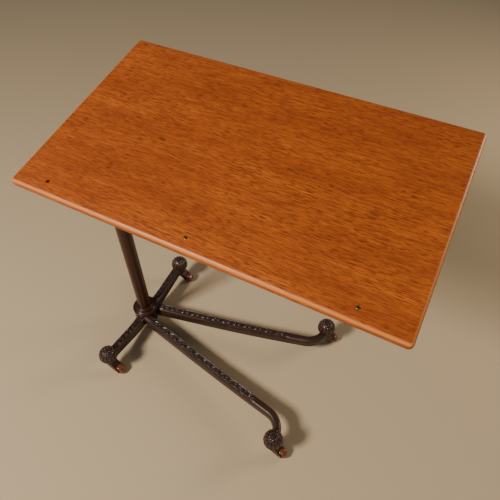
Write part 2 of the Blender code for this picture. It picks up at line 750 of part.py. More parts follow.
def thumbscrew(name, shank_low, shoulder, place, turn, parent):
    """A thumbscrew along its local Z, from its tip at shank_low to its head above shoulder."""
    hub_low = shoulder + THUMB_NECK
    hub_high = hub_low + THUMB_HUB_LENGTH
    profile = [(0, hub_high), (THUMB_HUB_RADIUS - THUMB_HUB_EDGE, hub_high),
               (THUMB_HUB_RADIUS, hub_high - THUMB_HUB_EDGE), (THUMB_HUB_RADIUS, hub_low),
               (THUMB_SHANK_RADIUS, hub_low), (THUMB_SHANK_RADIUS, shank_low), (0, shank_low)]
    item = turned(name, profile, place, turn, parent, SMALL_STEPS)
    frame = Matrix.Translation(place) @ Euler(turn).to_matrix().to_4x4()
    wings = []
    for tag, side in (("_wing_a", -1), ("_wing_b", 1)):
        centre = frame @ Vector((side * THUMB_WING_OFFSET, 0, hub_low + THUMB_WING_RISE))
        across = (frame.to_3x3() @ Euler(ALONG_Y).to_matrix()).to_euler()
        wings.append(rod(name + tag, THUMB_WING_RADIUS, -THUMB_WING_THICKNESS / 2,
                         THUMB_WING_THICKNESS / 2, centre, across, parent, MEDIUM_STEPS))
    return finished(join(item, *wings), IRON)


# Post and head


def post(head_frame):
    """The inner post, with the head on its top."""
    item = tube("inner_post", POST_RADIUS, POST_RADIUS - POST_WALL, POST_BOTTOM, POST_TOP,
                parent=head_frame)
    cut(item, head_pin_hole("post_pin_hole", head_frame))
    return finished(item, STEEL)


def head_pin_hole(name, head_frame):
    """A cutter for the pin through the head and the post."""
    return rod(name, HEAD_PIN_RADIUS + GAP, -HEAD_SOCKET_RADIUS - OVERRUN, HEAD_SOCKET_RADIUS + OVERRUN,
               (0, 0, TILT_HEIGHT - HEAD_PIN_DROP), ALONG_Y, head_frame)


def head_pin(head_frame):
    """The pin that fixes the head on the post."""
    item = rod("head_pin", HEAD_PIN_RADIUS, -HEAD_SOCKET_RADIUS, HEAD_SOCKET_RADIUS,
               (0, 0, TILT_HEIGHT - HEAD_PIN_DROP), ALONG_Y, head_frame)
    return finished(item, DARK_STEEL)


def head(head_frame):
    """The head casting: a socket on the post and a long boss for the tilting bar."""
    low = TILT_HEIGHT - HEAD_DROP
    high = TILT_HEIGHT + HEAD_CAP_RISE
    profile = [(0, high), (HEAD_CAP_RADIUS, high), (HEAD_SOCKET_RADIUS, TILT_HEIGHT - BAR_RADIUS),
               (HEAD_SOCKET_RADIUS, low + HEAD_EDGE), (HEAD_SOCKET_RADIUS - HEAD_EDGE, low), (0, low)]
    item = turned("head_casting", profile, (0, 0, 0), parent=head_frame, steps=FINE_STEPS)
    tilt_place = (0, 0, TILT_HEIGHT)
    radius, edge = HEAD_BOSS_RADIUS, HEAD_EDGE
    boss_line = [(0, HEAD_RIGHT), (radius - edge, HEAD_RIGHT), (radius, HEAD_RIGHT - edge),
                 (radius, edge - HEAD_LEFT), (radius - edge, -HEAD_LEFT), (0, -HEAD_LEFT)]
    join(item, turned("head_boss", boss_line, tilt_place, ALONG_X, head_frame, FINE_STEPS))
    bar_bore = rod("head_bar_bore", BAR_RADIUS + GAP, -HEAD_LEFT - OVERRUN, HEAD_RIGHT + OVERRUN,
                   tilt_place, ALONG_X, head_frame, MEDIUM_STEPS)
    post_bore = rod("head_post_bore", POST_RADIUS + GAP, low - OVERRUN, POST_TOP + GAP, (0, 0, 0),
                    parent=head_frame, steps=FINE_STEPS)
    clamp_bore = rod("head_clamp_bore", THUMB_SHANK_RADIUS + GAP, 0, HEAD_BOSS_RADIUS + OVERRUN,
                     (TILT_CLAMP_PLACE, 0, TILT_HEIGHT), DOWNWARD, head_frame)
    cut(item, bar_bore, post_bore, clamp_bore, head_pin_hole("head_pin_hole", head_frame))
    return finished(item, IRON)


def guide_ring(base):
    """The bronze ring that guides the post's foot in the column."""
    item = tube("post_guide_ring", COLUMN_BORE - GAP, POST_RADIUS + GAP, GUIDE_BOTTOM, GUIDE_TOP, parent=base)
    return finished(item, BRASS)


def retaining_ring(name, top, head_frame):
    """A ring on the post, above or below its guide ring."""
    item = tube(name, COLUMN_BORE - 2 * GAP, POST_RADIUS + GAP, top - RETAINER_HEIGHT, top,
                parent=head_frame, steps=ROUND_STEPS)
    return finished(item, STEEL)


# Tilting bar, brackets and board, in a frame on the tilt axis with the board level


def bracket_pin_hole(name, place, depth, tilt_frame):
    """A cutter for the pin through a bracket's hub into the bar."""
    return rod(name, BRACKET_PIN_RADIUS + GAP, depth, BRACKET_HUB_RADIUS + OVERRUN, (place, 0, 0),
               ALONG_MINUS_Y, tilt_frame)


def cap_pin_place():
    """Where the end cap's pin stands along the bar."""
    return -HEAD_LEFT - GAP - BAR_CAP_LENGTH / 2


def tilt_bar(tilt_frame):
    """The bar that the board turns about."""
    left = -HEAD_LEFT - GAP - BAR_CAP_LENGTH
    profile = [(0, BAR_REACH), (BAR_RADIUS - BAR_END_CHAMFER, BAR_REACH),
               (BAR_RADIUS, BAR_REACH - BAR_END_CHAMFER), (BAR_RADIUS, left), (0, left)]
    item = turned("tilt_bar", profile, (0, 0, 0), ALONG_X, tilt_frame, MEDIUM_STEPS)
    holes = [bracket_pin_hole("bar_pin_hole" + tag, place, 0, tilt_frame)
             for tag, place in (("_left", LEFT_BRACKET_PLACE), ("_right", RIGHT_BRACKET_PLACE))]
    holes.append(rod("bar_cap_pin_hole", BAR_CAP_PIN_RADIUS + GAP, -BAR_CAP_RADIUS, BAR_CAP_RADIUS,
                     (cap_pin_place(), 0, 0), UPRIGHT, tilt_frame))
    return finished(cut(item, *holes), STEEL)


def bar_cap(tilt_frame):
    """The ring that keeps the bar in the head, and its pin's hole."""
    left = -HEAD_LEFT - GAP - BAR_CAP_LENGTH
    item = tube("bar_end_ring", BAR_CAP_RADIUS, BAR_RADIUS + GAP, left, -HEAD_LEFT - GAP, BAR_CAP_EDGE,
                turn=ALONG_X, parent=tilt_frame, steps=MEDIUM_STEPS)
    cut(item, rod("cap_pin_hole", BAR_CAP_PIN_RADIUS + GAP, -BAR_CAP_RADIUS - OVERRUN,
                  BAR_CAP_RADIUS + OVERRUN, (cap_pin_place(), 0, 0), UPRIGHT, tilt_frame))
    return finished(item, IRON)


def bracket_pin(name, place, tilt_frame):
    """The pin that fixes a bracket on the bar."""
    item = rod(name, BRACKET_PIN_RADIUS, GAP, BRACKET_HUB_RADIUS, (place, 0, 0), ALONG_MINUS_Y, tilt_frame)
    return finished(item, DARK_STEEL)


def end_ring_pin(tilt_frame):
    """The pin that fixes the end ring on the bar."""
    item = rod("bar_end_pin", BAR_CAP_PIN_RADIUS, -BAR_CAP_RADIUS, BAR_CAP_RADIUS, (cap_pin_place(), 0, 0),
               UPRIGHT, tilt_frame)
    return finished(item, DARK_STEEL)


def screw_places(middle):
    """Where a bracket's four screws stand in the tilt frame."""
    return [(middle + sx * BRACKET_SCREW_SPREAD_X / 2, sy * BRACKET_SCREW_SPREAD_Y / 2, 0)
            for sx in (-1, 1) for sy in (-1, 1)]


def web_outline(top):
    """A bracket's web in its own plane: wide under the flange, and drawn in to the hub."""
    reach = BRACKET_HUB_RADIUS - GAP
    return [(BRACKET_WEB_FOOT, top), (reach, 0), (0, -reach / 2), (-reach, 0), (-BRACKET_WEB_FOOT, top)]


def bracket(name, middle, tilt_frame):
    """A bracket casting: a hub on the bar, a web and a flange screwed under the board."""
    flange_top = BOARD_UNDERSIDE - GAP
    flange_middle = flange_top - BRACKET_FLANGE_THICKNESS / 2
    item = rounded_box(name, (BRACKET_FLANGE_WIDTH, BRACKET_FLANGE_DEPTH, BRACKET_FLANGE_THICKNESS),
                       BRACKET_FLANGE_CORNER, BRACKET_FLANGE_EDGE, ARC_STEPS, 1, (middle, 0, flange_middle),
                       parent=tilt_frame)
    barrel = rod(name + "_barrel", BRACKET_HUB_RADIUS, -BRACKET_HUB_LENGTH / 2, BRACKET_HUB_LENGTH / 2,
                 (middle, 0, 0), ALONG_X, tilt_frame, MEDIUM_STEPS)
    web = outline_slab(name + "_web", web_outline(flange_middle), BRACKET_WEB, (middle, 0, 0),
                       (math.pi / 2, 0, math.pi / 2), tilt_frame)
    join(item, barrel, web)
    holes = [rod(name + "_bore", BAR_RADIUS + GAP, -BRACKET_HUB_LENGTH, BRACKET_HUB_LENGTH, (middle, 0, 0),
                 ALONG_X, tilt_frame, MEDIUM_STEPS),
             bracket_pin_hole(name + "_pin_hole", middle, BAR_RADIUS - OVERRUN, tilt_frame)]
    for i, place in enumerate(screw_places(middle)):
        holes.append(rod(f"{name}_screw_hole_{i}", BRACKET_SCREW_RADIUS + GAP,
                         flange_middle - BRACKET_FLANGE_THICKNESS, BOARD_UNDERSIDE + OVERRUN, place,
                         parent=tilt_frame))
    return finished(cut(item, *holes), IRON)


def bracket_screw(name, place, tilt_frame):
    """A round-headed wood screw that holds a bracket under the board."""
    head_top = BOARD_UNDERSIDE - 2 * GAP - BRACKET_FLANGE_THICKNESS
    head_low = head_top - BRACKET_SCREW_HEAD_HEIGHT
    tip = head_top + BRACKET_SCREW_LENGTH
    profile = [(0, tip), (BRACKET_SCREW_RADIUS / 2, tip), (BRACKET_SCREW_RADIUS, tip - BRACKET_SCREW_RADIUS),
               (BRACKET_SCREW_RADIUS, head_top), (BRACKET_SCREW_HEAD_RADIUS, head_top),
               (BRACKET_SCREW_HEAD_RADIUS * BRACKET_SCREW_CROWN_SHARE, head_low), (0, head_low)]
    return finished(turned(name, profile, place, parent=tilt_frame, steps=SMALL_STEPS), DARK_STEEL)


def socket_places():
    """Where the ledge sockets stand in the tilt frame, on the board's top."""
    middle = BOARD_MIDDLE_X + SOCKET_OFFSET
    return [(middle + i * SOCKET_PITCH, BOARD_FRONT + SOCKET_EDGE_DISTANCE, BAR_BELOW_TOP)
            for i in (-1, 0, 1)]


def board(tilt_frame):
    """The board, with blind holes for its screws and sockets."""
    middle = (BOARD_MIDDLE_X, BAR_SETBACK, BAR_BELOW_TOP - BOARD_THICKNESS / 2)
    item = rounded_box("board", (BOARD_LENGTH, BOARD_DEPTH, BOARD_THICKNESS), BOARD_CORNER_RADIUS,
                       BOARD_EDGE_ROUND, BOARD_ARC_STEPS, BOARD_ARC_STEPS, middle, parent=tilt_frame)
    tip = BOARD_UNDERSIDE - BRACKET_FLANGE_THICKNESS - 2 * GAP + BRACKET_SCREW_LENGTH + GAP
    holes = []
    for tag, place in (("left", LEFT_BRACKET_PLACE), ("right", RIGHT_BRACKET_PLACE)):
        for i, spot in enumerate(screw_places(place)):
            holes.append(rod(f"board_screw_hole_{tag}_{i}", BRACKET_SCREW_RADIUS + GAP,
                             BOARD_UNDERSIDE - OVERRUN, tip, spot, parent=tilt_frame))
    for i, spot in enumerate(socket_places()):
        holes.append(rod(f"board_socket_hole_{i}", SOCKET_RADIUS + GAP, -SOCKET_LENGTH - GAP, OVERRUN, spot,
                         parent=tilt_frame))
    return finished(cut(item, *holes), TIMBER)


def ledge_socket(name, place, tilt_frame):
    """A blind brass socket for a peg of the book ledge."""
    profile = [(0, -SOCKET_HOLE_DEPTH), (SOCKET_HOLE_RADIUS, -SOCKET_HOLE_DEPTH), (SOCKET_HOLE_RADIUS, 0),
               (SOCKET_RADIUS, 0), (SOCKET_RADIUS, -SOCKET_LENGTH), (0, -SOCKET_LENGTH)]
    return finished(turned(name, profile, place, parent=tilt_frame, steps=SMALL_STEPS), BRASS)


# Casters, in a frame on the swivel axis with +X along the trail


def horn_outline():
    """A horn's side: flat under the boss, then back and down to the axle's eye."""
    top = HORN_TOP - HORN_TOP_SHARE * HORN_PLATE
    eye = (CASTER_TRAIL, WHEEL_RADIUS)
    points = [(-HORN_HEEL, top), (-HORN_HEEL, HORN_TOP - HORN_NECK_HEIGHT)]
    points += arc(eye, HORN_EYE_RADIUS, HORN_EYE_START, HORN_EYE_END, HORN_EYE_STEPS)
    return points + [(HORN_TOE, top)]


def horn(foot, frame):
    """A caster's horn: a neck over a fork that holds the wheel."""
    name = "horn_" + foot.name
    item = outline_slab(name, horn_outline(), HORN_WIDTH, (0, 0, 0), (math.pi / 2, 0, 0), frame)
    neck = rod(name + "_neck", HORN_NECK_RADIUS, HORN_TOP - HORN_NECK_HEIGHT, HORN_TOP, (0, 0, 0),
               parent=frame, steps=ROUND_STEPS)
    slot_length = 2 * (CASTER_TRAIL + WHEEL_RADIUS)
    slot = box(name + "_slot", (slot_length, WHEEL_WIDTH + 2 * WHEEL_SIDE_CLEARANCE, HORN_SLOT_TOP),
               (0, 0, HORN_SLOT_TOP / 2), parent=frame)
    pintle_hole = rod(name + "_pintle_hole", PINTLE_RADIUS + GAP, HORN_SLOT_TOP - OVERRUN,
                      HORN_TOP + OVERRUN, (0, 0, 0), parent=frame)
    axle_hole = rod(name + "_axle_hole", AXLE_RADIUS + GAP, -HORN_WIDTH, HORN_WIDTH,
                    (CASTER_TRAIL, 0, WHEEL_RADIUS), ALONG_Y, frame)
    join(item, neck)
    cut(item, slot, pintle_hole, axle_hole)
    return finished(item, IRON)


def axle(foot, frame):
    """A caster's axle pin."""
    half = HORN_WIDTH / 2 + AXLE_PROUD
    item = rod("axle_" + foot.name, AXLE_RADIUS, -half, half, (CASTER_TRAIL, 0, WHEEL_RADIUS), ALONG_Y, frame)
    return finished(item, STEEL)


def wheel(foot, frame):
    """A caster's wheel, turned with round shoulders."""
    half = WHEEL_WIDTH / 2
    bore = AXLE_RADIUS + GAP
    inner = half - WHEEL_ROUND
    profile = [(bore, -half), (bore, half)]
    profile += arc((WHEEL_RADIUS - WHEEL_ROUND, inner), WHEEL_ROUND, math.pi / 2, 0, ARC_STEPS)
    profile += arc((WHEEL_RADIUS - WHEEL_ROUND, -inner), WHEEL_ROUND, 0, -math.pi / 2, ARC_STEPS)
    item = turned("wheel_" + foot.name, profile, (CASTER_TRAIL, 0, WHEEL_RADIUS), ALONG_Y, frame, ring=True)
    return finished(item, WHEEL)


def pintle(foot, frame):
    """A caster's pintle, held in the foot, with a head under the horn's plate."""
    head_top = HORN_SLOT_TOP - GAP
    profile = [(0, BOSS_BOTTOM + PINTLE_HOLD), (PINTLE_RADIUS, BOSS_BOTTOM + PINTLE_HOLD),
               (PINTLE_RADIUS, head_top), (PINTLE_HEAD_RADIUS, head_top),
               (PINTLE_HEAD_RADIUS, head_top - PINTLE_HEAD_HEIGHT), (0, head_top - PINTLE_HEAD_HEIGHT)]
    return finished(turned("pintle_" + foot.name, profile, (0, 0, 0), parent=frame, steps=SMALL_STEPS), STEEL)


# Assembly


def build_base(base):
    """The base: hub, legs, column and collar."""
    section = leg_section()
    hub(section, base)
    for foot in FEET:
        leg(foot, section, base)
        leg_bolt(foot, base)
    column(base)
    set_screw(base)
    collar(base)
    collar_pin("collar_pin_front", ALONG_MINUS_Y, base)
    collar_pin("collar_pin_back", ALONG_Y, base)
    bush(base)
    guide_ring(base)


def build_casters(base):
    """The four casters, each in its own frame."""
    for foot in FEET:
        frame = empty("caster_axis_" + foot.name, foot_place(foot), (0, 0, foot.trail), base)
        pintle(foot, frame)
        horn(foot, frame)
        axle(foot, frame)
        wheel(foot, frame)


def build_clamps(base, head_frame):
    """The two thumbscrews."""
    thumbscrew("height_clamp_screw", POST_RADIUS + GAP, COLLAR_BOSS_REACH, (0, 0, HEIGHT_CLAMP_HEIGHT),
               ALONG_MINUS_X, base)
    thumbscrew("tilt_clamp_screw", BAR_RADIUS + GAP, HEAD_BOSS_RADIUS, (TILT_CLAMP_PLACE, 0, TILT_HEIGHT),
               DOWNWARD, head_frame)


def build_head(head_frame):
    """What turns with the post."""
    post(head_frame)
    head(head_frame)
    head_pin(head_frame)
    retaining_ring("upper_retaining_ring", UPPER_RETAINER_TOP, head_frame)
    retaining_ring("lower_retaining_ring", LOWER_RETAINER_TOP, head_frame)


def build_table(tilt_frame):
    """What tilts: the bar, its brackets and the board."""
    tilt_bar(tilt_frame)
    bar_cap(tilt_frame)
    for side, place in (("left", LEFT_BRACKET_PLACE), ("right", RIGHT_BRACKET_PLACE)):
        bracket("bracket_" + side, place, tilt_frame)
        bracket_pin("bracket_pin_" + side, place, tilt_frame)
        for i, spot in enumerate(screw_places(place)):
            bracket_screw(f"bracket_screw_{side}_{i + 1}", spot, tilt_frame)
    end_ring_pin(tilt_frame)
    board(tilt_frame)
    for side, place in zip(("left", "middle", "right"), socket_places()):
        ledge_socket("ledge_socket_" + side, place, tilt_frame)


def main():
    """Build the whole table."""
    base = empty("base_frame", (COLUMN_X, 0, 0))
    head_frame = empty("post_axis", (COLUMN_X, 0, 0))
    tilt_frame = empty("tilt_axis", (COLUMN_X, 0, TILT_HEIGHT), (READING_TILT, 0, 0))
    build_base(base)
    build_casters(base)
    build_clamps(base, head_frame)
    build_head(head_frame)
    build_table(tilt_frame)


main()
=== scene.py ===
"""Looks of a tilting reading table: an oiled timber board on a japanned cast iron base with casters.

Metres, +Z up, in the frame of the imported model. Pieces of the base, the column and the casters are
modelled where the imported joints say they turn, and those of the table on the tilting bar's axis.
"""

import json
import logging
import math
from dataclasses import dataclass, field
from enum import Enum

import bmesh
import bpy
from mathutils import Matrix, Vector


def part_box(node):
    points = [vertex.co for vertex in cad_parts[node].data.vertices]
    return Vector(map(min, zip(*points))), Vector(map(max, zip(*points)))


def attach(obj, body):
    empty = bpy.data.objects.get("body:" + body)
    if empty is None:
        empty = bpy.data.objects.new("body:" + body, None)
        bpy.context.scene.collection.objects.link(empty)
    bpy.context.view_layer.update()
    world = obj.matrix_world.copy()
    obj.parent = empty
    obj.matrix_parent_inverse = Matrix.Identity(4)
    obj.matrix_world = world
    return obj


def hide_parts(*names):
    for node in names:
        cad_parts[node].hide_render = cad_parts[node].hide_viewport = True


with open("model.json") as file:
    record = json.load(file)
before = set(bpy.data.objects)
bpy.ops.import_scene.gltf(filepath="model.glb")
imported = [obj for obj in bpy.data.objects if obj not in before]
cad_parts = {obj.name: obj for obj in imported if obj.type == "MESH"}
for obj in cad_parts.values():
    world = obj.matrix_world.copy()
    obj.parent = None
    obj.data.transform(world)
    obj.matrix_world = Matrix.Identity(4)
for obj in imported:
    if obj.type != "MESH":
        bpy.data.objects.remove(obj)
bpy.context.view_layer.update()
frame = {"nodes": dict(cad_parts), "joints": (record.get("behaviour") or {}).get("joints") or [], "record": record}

LOG = logging.getLogger("reading_table")
MM = 0.001
MERGE_DISTANCE = 0.00001
SMOOTH_ANGLE = math.radians(32)
PLAIN_CREST = 0.35
OVERSHOOT = 1 * MM
HERE = Matrix.Identity(4)
ALONG_X = Matrix.Rotation(math.pi / 2, 4, "Y")
ALONG_MINUS_X = Matrix.Rotation(-math.pi / 2, 4, "Y")
ALONG_Y = Matrix.Rotation(-math.pi / 2, 4, "X")
ALONG_MINUS_Y = Matrix.Rotation(math.pi / 2, 4, "X")
DOWNWARD = Matrix.Rotation(math.pi, 4, "X")

Point = tuple[float, float]
Corner = tuple[float, float, float]
Colour = tuple[float, float, float, float]
Tree = bpy.types.NodeTree
Node = bpy.types.Node
Socket = bpy.types.NodeSocket
Material = bpy.types.Material
Item = bpy.types.Object
Shape = bmesh.types.BMesh


# Shader nodes


def srgb(code: str) -> Colour:
    """Turn an sRGB hex colour into a linear one.

    Args:
        code: The colour as #rrggbb.

    Returns:
        Linear red, green and blue, and an alpha of 1.
    """
    shares = [int(code[i : i + 2], 16) / 255 for i in (1, 3, 5)]
    linear = [c / 12.92 if c <= 0.04045 else ((c + 0.055) / 1.055) ** 2.4 for c in shares]
    return (*linear, 1.0)


def connect(tree: Tree, node: Node, links: dict) -> None:
    """Set a node's inputs.

    Args:
        tree: The material's node tree.
        node: The node.
        links: Input name or index to a value, or to the output socket that feeds it.
    """
    for key, value in links.items():
        if isinstance(value, Socket):
            tree.links.new(value, node.inputs[key])
        else:
            node.inputs[key].default_value = value


def add_node(
    tree: Tree, kind: str, links: dict | None = None, ramp: list | None = None, out: int | str = 0, **settings
) -> Socket:
    """Add a shader node.

    Args:
        tree: The material's node tree.
        kind: The node's type, without the word ShaderNode.
        links: Input name or index to a value, or to the output socket that feeds it.
        ramp: For a Color Ramp, its (place, colour) stops.
        out: Name or index of the output that is wanted.
        settings: The node's own properties.

    Returns:
        That output of the new node.
    """
    node = tree.nodes.new("ShaderNode" + kind)
    for name, value in settings.items():
        setattr(node, name, value)
    connect(tree, node, links or {})
    if ramp:
        stops = node.color_ramp.elements
        while len(stops) < len(ramp):
            stops.new(1)
        for stop, (place, colour) in zip(stops, ramp):
            stop.position = place
            stop.color = colour
    return node.outputs[out]


def grey(value: float) -> Colour:
    """A grey of that linear value."""
    return (value, value, value, 1.0)


def per_mm(size: float) -> float:
    """A pattern scale at which one grain is that many millimetres."""
    return 1 / (size * MM)


# Finishes


@dataclass(frozen=True)
class Recipe:
    """What every finish shares: a material whose shader takes the inputs that the finish works out."""

    def inputs(self, tree: Tree) -> dict:
        """The shader's inputs; each finish has its own."""
        raise NotImplementedError

    def build(self, name: str) -> Material:
        """Build the material.

        Args:
            name: The finish's common name.

        Returns:
            The material.
        """
        material = bpy.data.materials.new(name)
        material.use_nodes = True
        tree = material.node_tree
        connect(tree, tree.nodes["Principled BSDF"], self.inputs(tree))
        return material


@dataclass(frozen=True)
class Figure:
    """One layer of a timber's figure: the length and width of its grains, and how ragged they are."""

    length_mm: float
    width_mm: float
    detail: float = 2.0

    @property
    def scale(self) -> Corner:
        """The mapping scale at which one grain is one unit, with the grain along X."""
        return (per_mm(self.length_mm), per_mm(self.width_mm), per_mm(self.width_mm))


@dataclass(frozen=True)
class OiledOak(Recipe):
    """Quarter-sawn oak, stained, oiled and rubbed with wax.

    It gives the eye a warm orange-brown ground, short dark pores along the board, slow bands of
    redder and yellower wood, a small knot, a soft sheen that the pores break up, and a paler upper
    curve of the rim that is part rubbed stain and part painted highlight.
    """

    centre: Vector
    tilt: float
    light: str = "#bb6823"
    middle: str = "#a05119"
    dark: str = "#7e3a11"
    pore: str = "#52210a"
    # Paler colour of the rim's upper curve: part rubbed stain, part painted highlight.
    rim: str = "#dd8a3c"
    half_mm: float = 10
    warp: Figure = Figure(170, 60)
    bands: Figure = Figure(330, 55, 3)
    mottle: Figure = Figure(75, 6, 3)
    dashes: Figure = Figure(27, 1.8, 2)
    pores: Figure = Figure(16, 1.1, 1)
    clusters: Figure = Figure(90, 40)
    sway_mm: float = 5
    knot_place: Point = (-0.159, -0.022)
    knot_mm: Point = (9, 4.5)
    pore_depth_mm: float = 0.2
    rough: Point = (0.38, 0.52)

    def inputs(self, tree: Tree) -> dict:
        """Lay out the finish's nodes.

        Args:
            tree: The material's node tree.

        Returns:
            The shader's inputs.
        """
        world = add_node(tree, "TexCoord", out="Object")
        centred = add_node(tree, "Mapping", {"Vector": world, "Location": -self.centre})
        place = add_node(tree, "Mapping", {"Vector": centred, "Rotation": (-self.tilt, 0, 0)})
        bent = self.swayed(tree, place)
        layers = {}
        for layer in ("bands", "mottle", "dashes", "pores", "clusters"):
            figure = getattr(self, layer)
            stretched = add_node(tree, "Mapping", {"Vector": bent, "Scale": figure.scale})
            layers[layer] = add_node(tree, "TexNoise", {
                "Vector": stretched, "Scale": 1.0, "Detail": figure.detail, "Roughness": 0.55})
        colour = self.rim_wear_and_highlight(tree, place, self.knotted(tree, place, self.coloured(tree, layers)))
        sheen = add_node(tree, "MapRange", {
            "Value": layers["dashes"], "From Min": 0.35, "From Max": 0.65,
            "To Min": self.rough[1], "To Max": self.rough[0]})
        bump = add_node(tree, "Bump", {
            "Strength": 0.2, "Distance": self.pore_depth_mm * MM, "Height": layers["pores"]})
        return {
            "Base Color": colour, "Roughness": sheen, "Normal": bump,
            "IOR": 1.45, "Specular IOR Level": 0.4, "Coat Weight": 0.12, "Coat Roughness": 0.3}

    def swayed(self, tree: Tree, place: Socket) -> Socket:
        """Bend the grain a little sideways.

        Args:
            tree: The material's node tree.
            place: The board's coordinates.

        Returns:
            The bent coordinates.
        """
        slow = add_node(tree, "Mapping", {"Vector": place, "Scale": self.warp.scale})
        wave = add_node(tree, "TexNoise", {
            "Vector": slow, "Scale": 1.0, "Detail": self.warp.detail, "Roughness": 0.5})
        shift = add_node(tree, "MapRange", {
            "Value": wave, "To Min": -self.sway_mm * MM, "To Max": self.sway_mm * MM})
        sideways = add_node(tree, "CombineXYZ", {"Y": shift})
        return add_node(tree, "VectorMath", {0: place, 1: sideways}, operation="ADD")

    def coloured(self, tree: Tree, layers: dict[str, Socket]) -> Socket:
        """Colour the ground, then lay the dashes and the pores over it.

        Args:
            tree: The material's node tree.
            layers: The figure's layers.

        Returns:
            The colour.
        """
        mixed = add_node(
            tree, "Mix", {0: 0.45, 2: layers["bands"], 3: layers["mottle"]}, data_type="FLOAT")
        ground = add_node(tree, "ValToRGB", {"Fac": mixed}, [
            (0.25, srgb(self.dark)), (0.49, srgb(self.middle)), (0.73, srgb(self.light))])
        dashes = add_node(
            tree, "ValToRGB", {"Fac": layers["dashes"]}, [(0.38, grey(0.85)), (0.54, grey(0.0))])
        dashed = add_node(tree, "Mix", {0: dashes, 6: ground, 7: srgb(self.dark)}, out=2, data_type="RGBA")
        pores = add_node(
            tree, "ValToRGB", {"Fac": layers["pores"]}, [(0.36, grey(0.9)), (0.47, grey(0.0))])
        cluster = add_node(tree, "MapRange", {
            "Value": layers["clusters"], "From Min": 0.3, "From Max": 0.65, "To Min": 0.45, "To Max": 1.0})
        weight = add_node(tree, "Math", {0: pores, 1: cluster}, operation="MULTIPLY")
        return add_node(tree, "Mix", {0: weight, 6: dashed, 7: srgb(self.pore)}, out=2, data_type="RGBA")

    def knotted(self, tree: Tree, place: Socket, colour: Socket) -> Socket:
        """Darken the small knot.

        Args:
            tree: The material's node tree.
            place: The board's coordinates.
            colour: The colour round it.

        Returns:
            The colour with the knot.
        """
        across, up = (per_mm(size) for size in self.knot_mm)
        near = add_node(tree, "Mapping", {
            "Vector": place, "Location": (-self.knot_place[0] * across, -self.knot_place[1] * up, 0),
            "Scale": (across, up, 0)})
        distance = add_node(tree, "VectorMath", {0: near}, out="Value", operation="LENGTH")
        share = add_node(tree, "MapRange", {
            "Value": distance, "From Min": 0.3, "From Max": 1.2, "To Min": 0.75, "To Max": 0.0},
            interpolation_type="SMOOTHSTEP")
        return add_node(tree, "Mix", {0: share, 6: colour, 7: srgb(self.pore)}, out=2, data_type="RGBA")

    def rim_wear_and_highlight(self, tree: Tree, place: Socket, colour: Socket) -> Socket:
        """Pale the upper curve of the rounded rim: partly stain rubbed off by hands, partly a painted highlight.

        Args:
            tree: The material's node tree.
            place: The board's coordinates, from half way between its faces.
            colour: The colour of the faces.

        Returns:
            The colour with the rim.
        """
        level = add_node(tree, "SeparateXYZ", {"Vector": place}, out="Z")
        share = add_node(tree, "MapRange", {
            "Value": level, "From Min": -self.half_mm * MM, "From Max": self.half_mm * MM})
        # Painted highlight and rubbed stain: a paler band over the upper curve of the rim, none on its lower
        # curve.
        rubbed_highlight_band = add_node(tree, "ValToRGB", {"Fac": share}, [
            (0.4, grey(0.0)), (0.74, grey(0.12)), (0.82, grey(0.7)), (0.92, grey(0.7)), (0.99, grey(0.0))])
        return add_node(tree, "Mix", {0: rubbed_highlight_band, 6: colour, 7: srgb(self.rim)}, out=2, data_type="RGBA")


